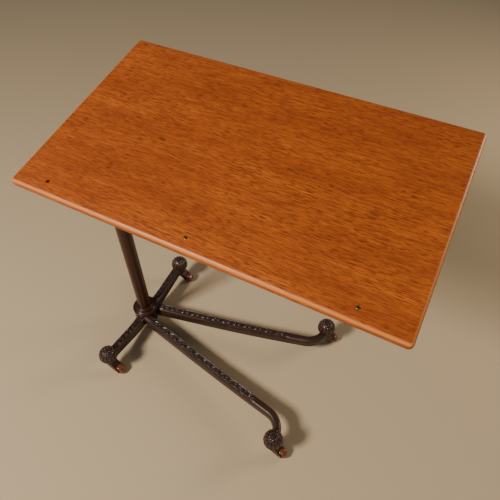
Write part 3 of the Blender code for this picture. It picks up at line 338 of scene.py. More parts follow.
@dataclass(frozen=True)
class JapannedIron(Recipe):
    """Cast iron or drawn tube, dipped in brown-black japan and stoved.

    It gives the eye a very dark warm brown under a gloss, with a fine cast skin. On ornament the
    ground between the leaves is painted near black as shade, and handling has rubbed the crests paler.
    """

    lacquer: str = "#351a0f"
    shade: str = "#200f08"
    # Painted shade: the near black laid into the ornament's ground between the leaves.
    ground: str = "#0e0704"
    rubbed: str = "#4a3026"
    skin_mm: float = 1.6
    skin_depth_mm: float = 0.05
    patch_mm: float = 22
    rough: Point = (0.3, 0.46)
    gloss: float = 0.36
    coat: float = 0.22
    crest: bool = False

    def inputs(self, tree: Tree) -> dict:
        """Lay out the finish's nodes.

        Args:
            tree: The material's node tree.

        Returns:
            The shader's inputs.
        """
        place = add_node(tree, "TexCoord", out="Object")
        patches, skin = (
            add_node(tree, "TexNoise", {
                "Vector": place, "Scale": per_mm(size), "Detail": detail, "Roughness": 0.6})
            for size, detail in ((self.patch_mm, 4), (self.skin_mm, 3)))
        colour = add_node(tree, "ValToRGB", {"Fac": patches}, [
            (0.35, srgb(self.shade)), (0.65, srgb(self.lacquer))])
        polish = skin
        if self.crest:
            polish = add_node(tree, "Attribute", out="Fac", attribute_name="crest")
            colour = self.ground_shade_and_crest_wear(tree, patches, polish, colour)
        rough = add_node(tree, "MapRange", {
            "Value": polish, "From Min": 0.3, "From Max": 0.7,
            "To Min": self.rough[0], "To Max": self.rough[1]})
        bump = add_node(tree, "Bump", {
            "Strength": 0.3, "Distance": self.skin_depth_mm * MM, "Height": skin})
        return {
            "Base Color": colour, "Roughness": rough, "Normal": bump,
            "IOR": 1.5, "Specular IOR Level": self.gloss, "Coat Weight": self.coat, "Coat Roughness": 0.14}

    def ground_shade_and_crest_wear(self, tree: Tree, patches: Socket, height: Socket, colour: Socket) -> Socket:
        """Paint shade into the ornament's ground between the leaves, and rub its crests paler as wear.

        Args:
            tree: The material's node tree.
            patches: The slow pattern that the wear follows.
            height: The ornament's crest attribute.
            colour: The lacquer's colour.

        Returns:
            The colour with painted shade in the ground and wear on the crests.
        """
        # Painted shade: the lower the relief, the closer the colour goes to near black.
        deep = add_node(tree, "MapRange", {
            "Value": height, "From Min": 0.0, "From Max": PLAIN_CREST, "To Min": 1.0, "To Max": 0.0})
        recess_shaded = add_node(tree, "Mix", {0: deep, 6: colour, 7: srgb(self.ground)}, out=2, data_type="RGBA")
        proud = add_node(tree, "MapRange", {
            "Value": height, "From Min": 0.55, "From Max": 1.0, "To Min": 0.0, "To Max": 1.0})
        wear = add_node(tree, "MapRange", {
            "Value": patches, "From Min": 0.35, "From Max": 0.65, "To Min": 0.45, "To Max": 1.0})
        share = add_node(tree, "Math", {0: proud, 1: wear}, operation="MULTIPLY")
        return add_node(tree, "Mix", {0: share, 6: recess_shaded, 7: srgb(self.rubbed)}, out=2, data_type="RGBA")


@dataclass(frozen=True)
class BareMetal(Recipe):
    """Turned, brushed or blacked metal without a coat.

    It gives the eye a coloured metal reflection, broken by fine turning marks and by patches of
    tarnish that are duller and darker.
    """

    bright: str
    tarnish: str
    rough: Point
    patch_mm: float = 9
    mark_mm: float = 0.8
    mark_depth_mm: float = 0.01

    def inputs(self, tree: Tree) -> dict:
        """Lay out the finish's nodes.

        Args:
            tree: The material's node tree.

        Returns:
            The shader's inputs.
        """
        place = add_node(tree, "TexCoord", out="Object")
        patches, marks = (
            add_node(tree, "TexNoise", {
                "Vector": place, "Scale": per_mm(size), "Detail": detail, "Roughness": rough})
            for size, detail, rough in ((self.patch_mm, 4, 0.65), (self.mark_mm, 2, 0.5)))
        colour = add_node(tree, "ValToRGB", {"Fac": patches}, [
            (0.38, srgb(self.tarnish)), (0.62, srgb(self.bright))])
        rough = add_node(tree, "MapRange", {
            "Value": patches, "From Min": 0.35, "From Max": 0.65,
            "To Min": self.rough[1], "To Max": self.rough[0]})
        bump = add_node(tree, "Bump", {
            "Strength": 0.15, "Distance": self.mark_depth_mm * MM, "Height": marks})
        return {"Base Color": colour, "Roughness": rough, "Normal": bump, "Metallic": 1.0}


@dataclass(frozen=True)
class VarnishedHardwood(Recipe):
    """A turned hardwood wheel under a thick red-brown varnish.

    It gives the eye a warm red-brown with fine dark grain, duller where the floor has scuffed it,
    and a sharp gloss.
    """

    varnish: str = "#774028"
    grain: str = "#462013"
    grain_mm: float = 2.2
    grain_depth_mm: float = 0.06
    scuff_mm: float = 7
    rough: Point = (0.22, 0.5)

    def inputs(self, tree: Tree) -> dict:
        """Lay out the finish's nodes.

        Args:
            tree: The material's node tree.

        Returns:
            The shader's inputs.
        """
        place = add_node(tree, "TexCoord", out="Object")
        upright = add_node(tree, "Mapping", {"Vector": place, "Scale": (1, 1, 0.25)})
        grain = add_node(tree, "TexNoise", {
            "Vector": upright, "Scale": per_mm(self.grain_mm), "Detail": 3, "Roughness": 0.5})
        scuffs = add_node(tree, "TexNoise", {
            "Vector": place, "Scale": per_mm(self.scuff_mm), "Detail": 4, "Roughness": 0.6})
        colour = add_node(tree, "ValToRGB", {"Fac": grain}, [
            (0.36, srgb(self.grain)), (0.6, srgb(self.varnish))])
        rough = add_node(tree, "MapRange", {
            "Value": scuffs, "From Min": 0.4, "From Max": 0.7,
            "To Min": self.rough[0], "To Max": self.rough[1]})
        bump = add_node(tree, "Bump", {
            "Strength": 0.2, "Distance": self.grain_depth_mm * MM, "Height": grain})
        return {
            "Base Color": colour, "Roughness": rough, "Normal": bump,
            "Coat Weight": 0.4, "Coat Roughness": 0.12}


@dataclass(frozen=True)
class StudioPaper(Recipe):
    """Matt pale paper under the table. It gives the eye soft shadows and no pattern."""

    shade: str = "#b2a488"

    def inputs(self, tree: Tree) -> dict:
        """The shader's inputs."""
        return {"Base Color": srgb(self.shade), "Roughness": 0.9}


class Finish(Enum):
    """The finishes of the table's pieces."""

    OAK = "oiled_oak"
    CARVED_IRON = "japanned_ornament"
    IRON = "japanned_casting"
    TUBE = "japanned_tube"
    STEEL = "turned_steel"
    BLACKED = "oil_blacked_steel"
    BRASS = "aged_brass"
    STAINED_BRASS = "stained_brass"
    HARDWOOD = "varnished_hardwood"
    PAPER = "studio_paper"


# Shapes


def eased(corners: list[Corner], steps: int) -> list[Point]:
    """Round the corners of a line.

    Args:
        corners: (x, y, radius) corners in order; a radius of 0 keeps a corner sharp.
        steps: Segments of each rounding.

    Returns:
        The points of the rounded line.
    """
    points: list[Point] = []
    for i, (x, y, radius) in enumerate(corners):
        if not radius:
            points.append((x, y))
            continue
        here = Vector((x, y))
        before = Vector(corners[i - 1][:2]) - here
        after = Vector(corners[(i + 1) % len(corners)][:2]) - here
        half = before.angle(after) / 2
        reach = radius / math.tan(half)
        start, end = here + reach * before.normalized(), here + reach * after.normalized()
        centre = here + (radius / math.sin(half)) * (before.normalized() + after.normalized()).normalized()
        for k in range(steps + 1):
            spoke = (start - centre).slerp(end - centre, k / steps).normalized()
            points.append(tuple(centre + radius * spoke))
    return points


def from_corner(corners: list[Corner], right: float = 0.0, up: float = 0.0) -> list[Corner]:
    """Corners for eased, given in millimetres from a place in metres."""
    return [(right + x * MM, up + y * MM, radius * MM) for x, y, radius in corners]


def turned(profile: list[Point], steps: int, ring: bool = False) -> Shape:
    """Turn a profile about Z.

    Args:
        profile: (radius, height) points.
        steps: Segments of the full turn.
        ring: True closes the profile, for a piece with a bore.

    Returns:
        The closed shape.
    """
    shape = bmesh.new()
    verts = [shape.verts.new((radius, 0, height)) for radius, height in profile]
    pairs = list(zip(verts, verts[1:])) + ([(verts[-1], verts[0])] if ring else [])
    edges = [shape.edges.new(pair) for pair in pairs]
    bmesh.ops.spin(shape, geom=verts + edges, axis=(0, 0, 1), angle=math.tau, steps=steps, use_merge=True)
    bmesh.ops.remove_doubles(shape, verts=shape.verts, dist=MERGE_DISTANCE)
    bmesh.ops.recalc_face_normals(shape, faces=shape.faces)
    return shape


def plate(outline: list[Point], thickness: float, edge: float, steps: int) -> Shape:
    """A flat outline made thick along Z, half to each side, with rounded rims.

    Args:
        outline: The outline's points in X and Y.
        thickness: The plate's thickness.
        edge: Radius of the rims.
        steps: Segments of the rims.

    Returns:
        The closed shape.
    """
    shape = bmesh.new()
    face = shape.faces.new([shape.verts.new((x, y, -thickness / 2)) for x, y in outline])
    made = bmesh.ops.extrude_face_region(shape, geom=[face])["geom"]
    top = [item for item in made if isinstance(item, bmesh.types.BMVert)]
    bmesh.ops.translate(shape, vec=(0, 0, thickness), verts=top)
    bmesh.ops.recalc_face_normals(shape, faces=shape.faces)
    if edge:
        rims = [e for e in shape.edges if abs(e.verts[0].co.z - e.verts[1].co.z) < MERGE_DISTANCE]
        bmesh.ops.bevel(shape, geom=rims, offset=edge, segments=steps, profile=0.5, affect="EDGES",
                        material=-1, clamp_overlap=True)
    return shape


def slab(size: Vector, corner: float, edge: float, steps: int) -> Shape:
    """A box with round corners in plan and rounded rims.

    Args:
        size: Its length, depth and thickness.
        corner: Radius of the corners in plan.
        edge: Radius of the rims.
        steps: Segments of each rounding.

    Returns:
        The closed shape.
    """
    half_x, half_y = size.x / 2, size.y / 2
    corners = [(half_x, half_y, corner), (-half_x, half_y, corner), (-half_x, -half_y, corner),
               (half_x, -half_y, corner)]
    return plate(eased(corners, steps), size.z, edge, steps)


def moved(shape: Shape, matrix: Matrix) -> Shape:
    """Place a shape, and return it."""
    bmesh.ops.transform(shape, matrix=matrix, verts=shape.verts)
    return shape


def together(shapes: list[Shape]) -> Shape:
    """Put several shapes in the first one.

    Args:
        shapes: The shapes; all but the first are freed.

    Returns:
        The first shape, with the others in it.
    """
    whole = shapes[0]
    for shape in shapes[1:]:
        mesh = bpy.data.meshes.new("part")
        shape.to_mesh(mesh)
        shape.free()
        whole.from_mesh(mesh)
        bpy.data.meshes.remove(mesh)
    return whole


def at(x: float, y: float, z: float) -> Matrix:
    """A place without a turn."""
    return Matrix.Translation((x, y, z))


def as_object(name: str, shape: Shape) -> Item:
    """Make an object of a shape, at the origin.

    Args:
        name: The object's name.
        shape: The shape, which is freed.

    Returns:
        The object.
    """
    mesh = bpy.data.meshes.new(name)
    shape.to_mesh(mesh)
    shape.free()
    item = bpy.data.objects.new(name, mesh)
    bpy.context.scene.collection.objects.link(item)
    return item


def applied(item: Item) -> Item:
    """Make an object's modifiers part of its mesh, and return it.

    Args:
        item: The object.

    Returns:
        The same object.
    """
    bpy.context.view_layer.update()
    result = bpy.data.meshes.new_from_object(item.evaluated_get(bpy.context.evaluated_depsgraph_get()))
    old = item.data
    item.modifiers.clear()
    item.data = result
    bpy.data.meshes.remove(old)
    return item


def cut_away(item: Item, cutter: Shape) -> Item:
    """Cut a shape out of an object.

    Args:
        item: The object to cut.
        cutter: The closed shape to take away.

    Returns:
        The cut object.
    """
    tool = as_object(item.name + "_cutter", cutter)
    boolean = item.modifiers.new("cut", "BOOLEAN")
    boolean.operation = "DIFFERENCE"
    boolean.object = tool
    applied(item)
    bpy.data.meshes.remove(tool.data)
    return item


def bored(item: Item, radius: float, low: float, high: float, steps: int, place: Matrix = HERE) -> Item:
    """Cut a round bore out of an object.

    Args:
        item: The object to cut.
        radius: The bore's radius.
        low: Where the bore starts along its axis.
        high: Where it ends.
        steps: Segments of its full turn.
        place: The frame whose Z is the bore's axis.

    Returns:
        The bored object.
    """
    cutter = turned([(0, low), (radius, low), (radius, high), (0, high)], steps)
    return cut_away(item, moved(cutter, place))


def cast_together(item: Item, voxel: float, passes: int) -> Item:
    """Blend overlapping shapes into one skin with soft corners, as a casting has.

    Args:
        item: An object of overlapping closed shapes.
        voxel: Size of the new skin's cells.
        passes: Rounds of smoothing.

    Returns:
        The blended object.
    """
    remesh = item.modifiers.new("skin", "REMESH")
    remesh.mode = "VOXEL"
    remesh.voxel_size = voxel
    soften = item.modifiers.new("soften", "SMOOTH")
    soften.iterations = passes
    soften.factor = 0.5
    return applied(item)


@dataclass(frozen=True)
class Dresser:
    """Gives each piece its finish and its body, and reports it."""

    finishes: dict[Finish, Material]
    bodies: dict[str, str]
    slots: dict[str, str]

    def piece(self, item: Item, finish: Finish, *nodes: str) -> Item:
        """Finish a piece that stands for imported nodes.

        Args:
            item: The piece's object.
            finish: Its finish.
            nodes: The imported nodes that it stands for; it moves with the first one's body.

        Returns:
            The piece.
        """
        item.data.shade_smooth()
        item.data.set_sharp_from_angle(angle=SMOOTH_ANGLE)
        item.data.materials.clear()
        item.data.materials.append(self.finishes[finish])
        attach(item, self.bodies[nodes[0]])
        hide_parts(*nodes)
        LOG.info("%s: %d faces on %s", item.name, len(item.data.polygons), self.bodies[nodes[0]])
        return item

    def solid(self, name: str, shape: Shape, finish: Finish, *nodes: str) -> Item:
        """Finish a piece that is still a shape, with the other arguments of piece."""
        return self.piece(as_object(name, shape), finish, *nodes)

    def node(self, finish: Finish, *names: str) -> None:
        """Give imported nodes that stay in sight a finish.

        Args:
            finish: The finish.
            names: The nodes.
        """
        for name in names:
            mesh = frame["nodes"][name].data
            mesh.materials.clear()
            mesh.materials.append(self.finishes[finish])


# Places


def joint_place(name: str) -> Vector:
    """Where a packed joint stands."""
    return Vector(next(joint["pos_m"] for joint in frame["joints"] if joint["name"] == name))


@dataclass(frozen=True)
class Places:
    """The frames that the pieces are placed by."""

    column: Vector
    axis: Vector
    tilt: float

    @classmethod
    def measured(cls) -> "Places":
        """Read the column's foot, the tilt axis and the board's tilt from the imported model.

        Returns:
            The places.
        """
        axis = joint_place("tilt")
        face = Vector(frame["record"]["mounts"][0]["axis"])
        return cls(Vector((axis.x, 0, 0)), axis, math.atan2(-face.y, face.z))

    @property
    def upright(self) -> Matrix:
        """The column's frame."""
        return Matrix.Translation(self.column)

    @property
    def table(self) -> Matrix:
        """The board's frame, on the tilt axis with the board level in it."""
        return Matrix.Translation(self.axis) @ Matrix.Rotation(self.tilt, 4, "X")


@dataclass(frozen=True)
class Foot:
    """One foot: its name, its side, and where its caster turns and rolls."""

    name: str
    side: int

    @property
    def long(self) -> bool:
        """Whether its leg is one of the long ones."""
        return self.name.startswith("long")

    @property
    def pivot(self) -> Vector:
        """The caster's swivel axis."""
        return joint_place("caster_swivel_" + self.name)

    @property
    def caster(self) -> Matrix:
        """The caster's frame, on the floor with +X along its trail.

        Returns:
            The frame.
        """
        trail = joint_place("wheel_spin_" + self.name) - self.pivot
        turn = Matrix.Rotation(math.atan2(trail.y, trail.x), 4, "Z")
        return at(self.pivot.x, self.pivot.y, 0) @ turn


FEET = (Foot("short_front", -1), Foot("short_back", 1), Foot("long_front", -1), Foot("long_back", 1))


# Legs and feet


def dome(distance: float) -> float:
    """Height of a round crest at a distance from its middle, both as shares."""
    return math.sqrt(max(0.0, 1 - distance * distance))


def ease(share: float) -> float:
    """A smooth step from 0 to 1."""
    share = min(1.0, max(0.0, share))
    return share * share * (3 - 2 * share)


@dataclass(frozen=True)
class ScrollRelief:
    """A running scroll: a wavy stem with lobed leaves, volutes and berries, in millimetres."""

    pitch: float = 17.0
    swing: float = 2.8
    stem: float = 1.0
    leaf_length: float = 13.5
    leaf_width: float = 3.1
    leaf_lean: float = 4.4
    berry: float = 1.5
    volute: float = 2.9
    rib_place: float = 8.7
    rib: float = 0.55
    high: float = 1.75
    ground: float = 0.65

    def leaf(self, along: float, across: float) -> float:
        """Height of the leaf that starts at along 0 on the positive side.

        Args:
            along: Place along the back, from the leaf's start.
            across: Place across it, from its middle.

        Returns:
            The height, 0 beside the leaf.
        """
        share = along / self.leaf_length
        if not 0 < share < 1:
            return 0.0
        middle = 0.6 + self.leaf_lean * math.sin(share * math.pi / 2)
        lobes = 1 + 0.2 * math.cos(share * math.tau * 4)
        half = self.leaf_width * math.sin(math.pi * share**0.7) * lobes
        off = across - middle
        if abs(off) >= half:
            return 0.0
        vein = 0.5 * math.exp(-((off / 0.45) ** 2))
        return self.high * (dome(off / half) * (0.75 + 0.25 * math.sin(math.pi * share)) - vein)

    def curl(self, along: float, across: float) -> float:
        """Height of the berry and its volute, from their middle.

        Args:
            along: Distance along the back.
            across: Distance across it.

        Returns:
            The height.
        """
        distance = math.hypot(along, across)
        ring = 0.75 * math.exp(-(((distance - self.volute) / 0.5) ** 2))
        return self.high * max(dome(distance / self.berry), ring)

    def height(self, along: float, across: float) -> float:
        """Height of the relief over the bar.

        Args:
            along: Place along the bar.
            across: Place across its back, from the middle.

        Returns:
            The height, negative in the ground between the leaves.
        """
        index = math.floor(along / self.pitch)
        wave = -self.swing * math.sin(math.pi * along / self.pitch)
        best = self.high * dome(min(1, abs(across - wave) / self.stem)) * 0.9
        for i in (index - 1, index, index + 1):
            side = 1 if i % 2 == 0 else -1
            place = along - i * self.pitch
            best = max(best, self.leaf(place - 1.5, across * side),
                       self.curl(place - self.pitch / 2 - 1.0, across * side + self.leaf_lean + 1.0))
        rib = 0.5 * self.high * math.exp(-(((abs(across) - self.rib_place) / self.rib) ** 2))
        inside = ease((self.rib_place - abs(across)) / 0.8)
        return max(best * inside, rib) - self.ground * inside

    def crest(self, height: float) -> float:
        """How far a height is from the ground, at 0, to the highest crest, at 1.

        Args:
            height: The relief's height.

        Returns:
            The share.
        """
        if height < 0:
            return PLAIN_CREST * (1 + height / self.ground)
        return PLAIN_CREST + (1 - PLAIN_CREST) * height / (self.high - self.ground)


@dataclass(frozen=True)
class LegCasting:
    """A leg: a round-backed bar with a scroll along its back, that rises and bends to its foot."""

    foot: Foot
    centre: Vector
    relief: ScrollRelief = field(default_factory=ScrollRelief)
    width: float = 27.5 * MM
    depth: float = 40 * MM
    corner: float = 10 * MM
    taper_share: float = 0.78
    short_taper_share: float = 0.86
    root_height: float = 44.5 * MM
    foot_height: float = 62.5 * MM
    short_foot_height: float = 65.8 * MM
    level_share: float = 0.22
    risen_share: float = 0.86
    short_level_share: float = 1 / 6
    angle: float = math.radians(12.1)
    offset: float = 18 * MM
    bend: float = 55 * MM
    long_seat: float = 46 * MM
    short_seat: float = 43 * MM
    drum_edge: float = 37 * MM
    long_relief_end: float = 0.785
    short_relief_gap: float = 18 * MM
    fade: float = 14 * MM
    rise_ease: float = 4 * MM
    ring_step: float = 0.75 * MM
    fine_step: float = 0.5 * MM
    coarse_step: float = 2.6 * MM
    fine_reach: float = 10.5 * MM

    @property
    def reach(self) -> Vector:
        """From the column's axis to the foot's."""
        return Vector((self.foot.pivot.x, self.foot.pivot.y, 0)) - self.centre

    @property
    def seat(self) -> float:
        """How far from its line's start the leg meets the hub's stub."""
        return self.long_seat if self.foot.long else self.short_seat

    def course(self) -> tuple[Vector, float, float, float]:
        """The start of the leg's line, and the lengths of its straight, its bend and its end.

        Returns:
            The start, from the column's axis, and the three lengths.
        """
        if not self.foot.long:
            return Vector((self.reach.x, 0, 0)), abs(self.reach.y), 0.0, 0.0
        start = Vector((0, self.foot.side * self.offset, 0))
        turn = math.pi / 2 - self.angle
        tangent = self.bend * math.tan(turn / 2)
        straight = self.reach.x / math.cos(self.angle) - tangent
        corner = self.offset + self.reach.x * math.tan(self.angle)
        return start, straight, self.bend * turn, abs(self.reach.y) - corner - tangent

    def plan(self, distance: float) -> tuple[Vector, Vector]:
        """The line's point and level heading at a distance from its start.

        Args:
            distance: The distance along the line.

        Returns:
            The point, from the column's axis, and the unit heading.
        """
        start, straight, bend, _ = self.course()
        side = self.foot.side
        if not self.foot.long:
            return start + Vector((0, side * distance, 0)), Vector((0, side, 0))
        heading = Vector((math.cos(self.angle), side * math.sin(self.angle), 0))
        if distance <= straight:
            return start + distance * heading, heading
        turn = math.pi / 2 - self.angle
        left = turn * max(0.0, 1 - (distance - straight) / bend)
        centre = start + straight * heading + self.bend * Vector((-heading.y, heading.x, 0)) * side
        spoke = Vector((math.cos(left), -side * math.sin(left), 0))
        heading = Vector((math.sin(left), side * math.cos(left), 0))
        past = max(0.0, distance - straight - bend)
        return centre + self.bend * spoke + past * heading, heading

    def length(self) -> float:
        """The line's whole length."""
        return sum(self.course()[1:])

    def rise(self, distance: float) -> float:
        """The line's height at a distance, eased over a short span.

        Args:
            distance: The distance along the line.

        Returns:
            The height over the floor.
        """
        total = self.length() - self.seat
        if self.foot.long:
            low, high, power, top = self.level_share, self.risen_share, 2, self.foot_height
        else:
            low, high, power, top = self.short_level_share, 1.0, 1, self.short_foot_height
        shares = [(distance + i * self.rise_ease - self.seat) / total for i in range(-3, 4)]
        lifts = [min(1, max(0, (share - low) / (high - low))) ** power for share in shares]
        return self.root_height + (top - self.root_height) * sum(lifts) / len(lifts)

    def section(self, arc: float) -> tuple[Point, Point]:
        """A point of the section and its outward direction.

        Args:
            arc: Distance along the outline from the middle of the back.

        Returns:
            The point across and up, and the direction.
        """
        flat = self.width / 2 - self.corner
        side = self.depth / 2 - self.corner
        quarter = self.corner * math.pi / 2
        sign, left = math.copysign(1, arc), abs(arc)
        if left <= flat:
            return (arc, self.depth / 2), (0, 1)
        left -= flat
        for level, start in ((side, 0.0), (-side, math.pi / 2)):
            if left <= quarter:
                sine, cosine = math.sin(start + left / self.corner), math.cos(start + left / self.corner)
                spot = (sign * (flat + self.corner * sine), level + self.corner * cosine)
                return spot, (sign * sine, cosine)
            left -= quarter
            if start == 0 and left <= 2 * side:
                return (sign * self.width / 2, side - left), (sign, 0)
            if start == 0:
                left -= 2 * side
        return (sign * max(0, flat - left), -self.depth / 2), (0, -1)

    def arcs(self) -> list[float]:
        """Places round the section, close together over the relief.

        Returns:
            Distances along the section's outline, from the middle of the back.
        """
        half = 2 * (self.width / 2 - self.corner) + self.corner * math.pi + self.depth - 2 * self.corner
        fine = round(self.fine_reach / self.fine_step)
        places = [i * self.fine_step for i in range(fine + 1)]
        coarse = round((half - self.fine_reach) / self.coarse_step)
        places += [self.fine_reach + (half - self.fine_reach) * i / coarse for i in range(1, coarse + 1)]
        return places + [-place for place in places[-2:0:-1]]

    def strength(self, distance: float) -> float:
        """How much of the relief stands at a distance along the line.

        Args:
            distance: The distance along the line.

        Returns:
            The share, from 0 to 1.
        """
        length = self.length()
        end = length * self.long_relief_end if self.foot.long else length - self.short_relief_gap
        return ease((distance - self.drum_edge) / self.fade) * ease((end - distance) / (2 * self.fade))

    def shape(self) -> Shape:
        """The bar, bent along its line, with its crest attribute.

        Returns:
            The closed shape.
        """
        shape = bmesh.new()
        crest = shape.verts.layers.float.new("crest")
        tag = shape.verts.layers.float.new("arc")
        ring = [shape.verts.new((0, *self.section(arc)[0])) for arc in self.arcs()]
        for vert, arc in zip(ring, self.arcs()):
            vert[tag] = arc
        face = shape.faces.new(ring)
        made = bmesh.ops.extrude_face_region(shape, geom=[face])["geom"]
        length = self.length()
        ends = [item for item in made if isinstance(item, bmesh.types.BMVert)]
        bmesh.ops.translate(shape, vec=(length, 0, 0), verts=ends)
        runs = [edge for edge in shape.edges if abs(edge.verts[0].co.x - edge.verts[1].co.x) > length / 2]
        bmesh.ops.subdivide_edges(shape, edges=runs, cuts=round(length / self.ring_step), use_grid_fill=True)
        total = length - self.seat
        taper = 1 - (self.taper_share if self.foot.long else self.short_taper_share)
        stations = {}
        for vert in shape.verts:
            distance = vert.co.x
            key = round(distance / MM, 3)
            if key not in stations:
                point, heading = self.plan(distance)
                slope = (self.rise(distance + MM) - self.rise(distance - MM)) / (2 * MM)
                up = Vector((-heading.x * slope, -heading.y * slope, 1)).normalized()
                across = Vector((heading.y, -heading.x, 0))
                scale = 1 - taper * min(1, max(0, (distance - self.seat) / total))
                centre = self.centre + point + Vector((0, 0, self.rise(distance)))
                stations[key] = (centre, across, up, scale, self.strength(distance))
            centre, across, up, scale, strength = stations[key]
            arc = vert[tag]
            (y, z), (ny, nz) = self.section(arc)
            height = 0.0
            if strength and abs(arc) < self.fine_reach:
                height = strength * self.relief.height((distance - self.drum_edge) / MM, arc * scale / MM)
            vert[crest] = self.relief.crest(height)
            y, z = y * scale + ny * height * MM, z * scale + nz * height * MM
            vert.co = centre + across * y + up * z
        bmesh.ops.recalc_face_normals(shape, faces=shape.faces)
        return shape

    def dress(self, dresser: Dresser) -> None:
        """Build the leg."""
        dresser.solid("cast_leg_" + self.foot.name, self.shape(), Finish.CARVED_IRON, "leg_" + self.foot.name)


@dataclass(frozen=True)
class BudBall:
    """A foot's ball: rings of petals and buds round a button, over a beaded neck."""

    foot: Foot
    radius: float = 26.3 * MM
    half_height: float = 26.3 * MM
    height: float = 79 * MM
    neck: float = 18.5 * MM
    bottom: float = 46 * MM
    high: float = 1.7 * MM
    petals: int = 14
    petal_from: float = math.radians(37)
    petal_to: float = math.radians(90)
    buds: int = 8
    bud_place: float = math.radians(25)
    bud_size: float = math.radians(8.6)
    button: float = math.radians(11)
    carved_to: float = math.radians(96)
    carved_ease: float = math.radians(10)
    on_ball: float = 0.98
    steps: int = 168
    rows: int = 62

    def profile(self) -> list[Point]:
        """The ball's profile down to its neck's foot.

        Returns:
            (radius, height) points.
        """
        neck_angle = math.pi - math.asin((self.neck - 0.4 * MM) / self.radius)
        angles = [neck_angle * i / self.rows for i in range(self.rows + 1)]
        points = [(self.radius * math.sin(a), self.height + self.half_height * math.cos(a))
                  for a in angles]
        return points + eased([*from_corner([
            (-1.6, 11, 1), (-1.6, 8.2, 0.6), (0, 7.6, 0.9), (0, 4.6, 0.9), (-1.4, 4.2, 0.5), (-1.2, 1.2, 0.8),
            (-2.2, 0, 0.3)], self.neck, self.bottom), (0, self.bottom, 0)], 3)

    def crest(self, polar: float, turn: float) -> float:
        """Height share of the ornament.

        Args:
            polar: Angle from the ball's top.
            turn: Angle round its axis.

        Returns:
            The share of the relief's height, from 0 to 1.
        """
        if polar < self.button:
            return 0.35 + 0.65 * dome(polar / self.button)
        pitch = math.tau / self.buds
        off = ((turn / pitch) % 1 - 0.5) * pitch * math.sin(polar)
        bud = dome(min(1, math.hypot(off, polar - self.bud_place) / self.bud_size))
        if polar <= self.petal_from:
            return bud
        share = (polar - self.petal_from) / (self.petal_to - self.petal_from)
        if share >= 1:
            return 0.0
        off = ((turn * self.petals / math.tau) % 1 - 0.5) * 2
        half = 0.88 * math.sin(math.pi * share**0.75) ** 0.55
        vein = 0.3 * math.exp(-((off / 0.14) ** 2)) * math.sin(math.pi * share)
        return max(bud, dome(min(1, abs(off) / half)) - vein if abs(off) < half else 0.0)

    def dress(self, dresser: Dresser) -> None:
        """Build the ball.

        Args:
            dresser: What gives the pieces their finish and body.
        """
        shape = turned(self.profile(), self.steps)
        layer = shape.verts.layers.float.new("crest")
        for vert in shape.verts:
            vert[layer] = PLAIN_CREST
            out = Vector((vert.co.x / self.radius, vert.co.y / self.radius,
                          (vert.co.z - self.height) / self.half_height))
            polar = math.atan2(math.hypot(out.x, out.y), out.z)
            if polar > self.carved_to or out.length < self.on_ball:
                continue
            crest = self.crest(polar, math.atan2(out.y, out.x))
            sunk = ease((self.carved_to - polar) / self.carved_ease)
            vert[layer] = PLAIN_CREST + (crest - PLAIN_CREST) * sunk
            vert.co -= out.normalized() * self.high * sunk * (1 - crest)
        moved(shape, at(self.foot.pivot.x, self.foot.pivot.y, 0))
        dresser.solid("foot_ball_" + self.foot.name, shape, Finish.CARVED_IRON, "leg_" + self.foot.name)


# Hub and column


@dataclass(frozen=True)
class HubCasting:
    """The drum that holds the legs and the column, with a bead at its shoulder and one at its top."""

    places: Places
    radius: float = 37.5 * MM
    bottom: float = 26 * MM
    top: float = 88 * MM
    bore: float = 19.3 * MM
    socket_depth: float = 30 * MM
    screw_height: float = 54 * MM
    screw_radius: float = 6.5 * MM
    screw_head: float = 4 * MM
    screw_shank: Point = (10 * MM, 4 * MM)
    screw_gap: float = 0.3 * MM
    steps: int = 128

    def profile(self) -> list[Point]:
        """The drum's profile from its underside up and down into its socket.

        Returns:
            (radius, height) points.
        """
        beads = from_corner([
            (-1.2, -19, 1), (-2.2, -18.2, 0.5), (-2.2, -17.4, 0.5), (0, -16.8, 1.6), (0, -11.6, 2.4),
            (-5.2, -11, 0.8), (-6.2, -11.2, 0.6), (-11.2, -7.6, 2.2), (-9, -6.6, 1.4), (-9, -1.2, 2.4),
            (-14.6, -0.9, 0.6), (-15.4, 0, 0.4)], self.radius, self.top)
        floor = self.top - self.socket_depth
        return eased([(0, self.bottom, 0), *from_corner([(-1.2, 0, 2)], self.radius, self.bottom), *beads,
                      (self.bore, self.top, 0.5 * MM), (self.bore, floor, 0), (0, floor, 0)], 5)

    def dress(self, dresser: Dresser) -> None:
        """Build the hub and its set screw.

        Args:
            dresser: What gives the pieces their finish and body.
        """
        shape = moved(turned(self.profile(), self.steps), self.places.upright)
        dresser.solid("cast_hub", shape, Finish.IRON, "hub")
        screw = slotted_screw(self.screw_radius, self.screw_head, *self.screw_shank)
        seat = at(0, 0, self.screw_height) @ ALONG_MINUS_X @ at(0, 0, self.radius + self.screw_gap)
        moved(screw, self.places.upright @ seat)
        dresser.solid("slotted_set_screw", screw, Finish.BLACKED, "column_set_screw")
        dresser.node(Finish.BLACKED, *("leg_bolt_" + foot.name for foot in FEET))


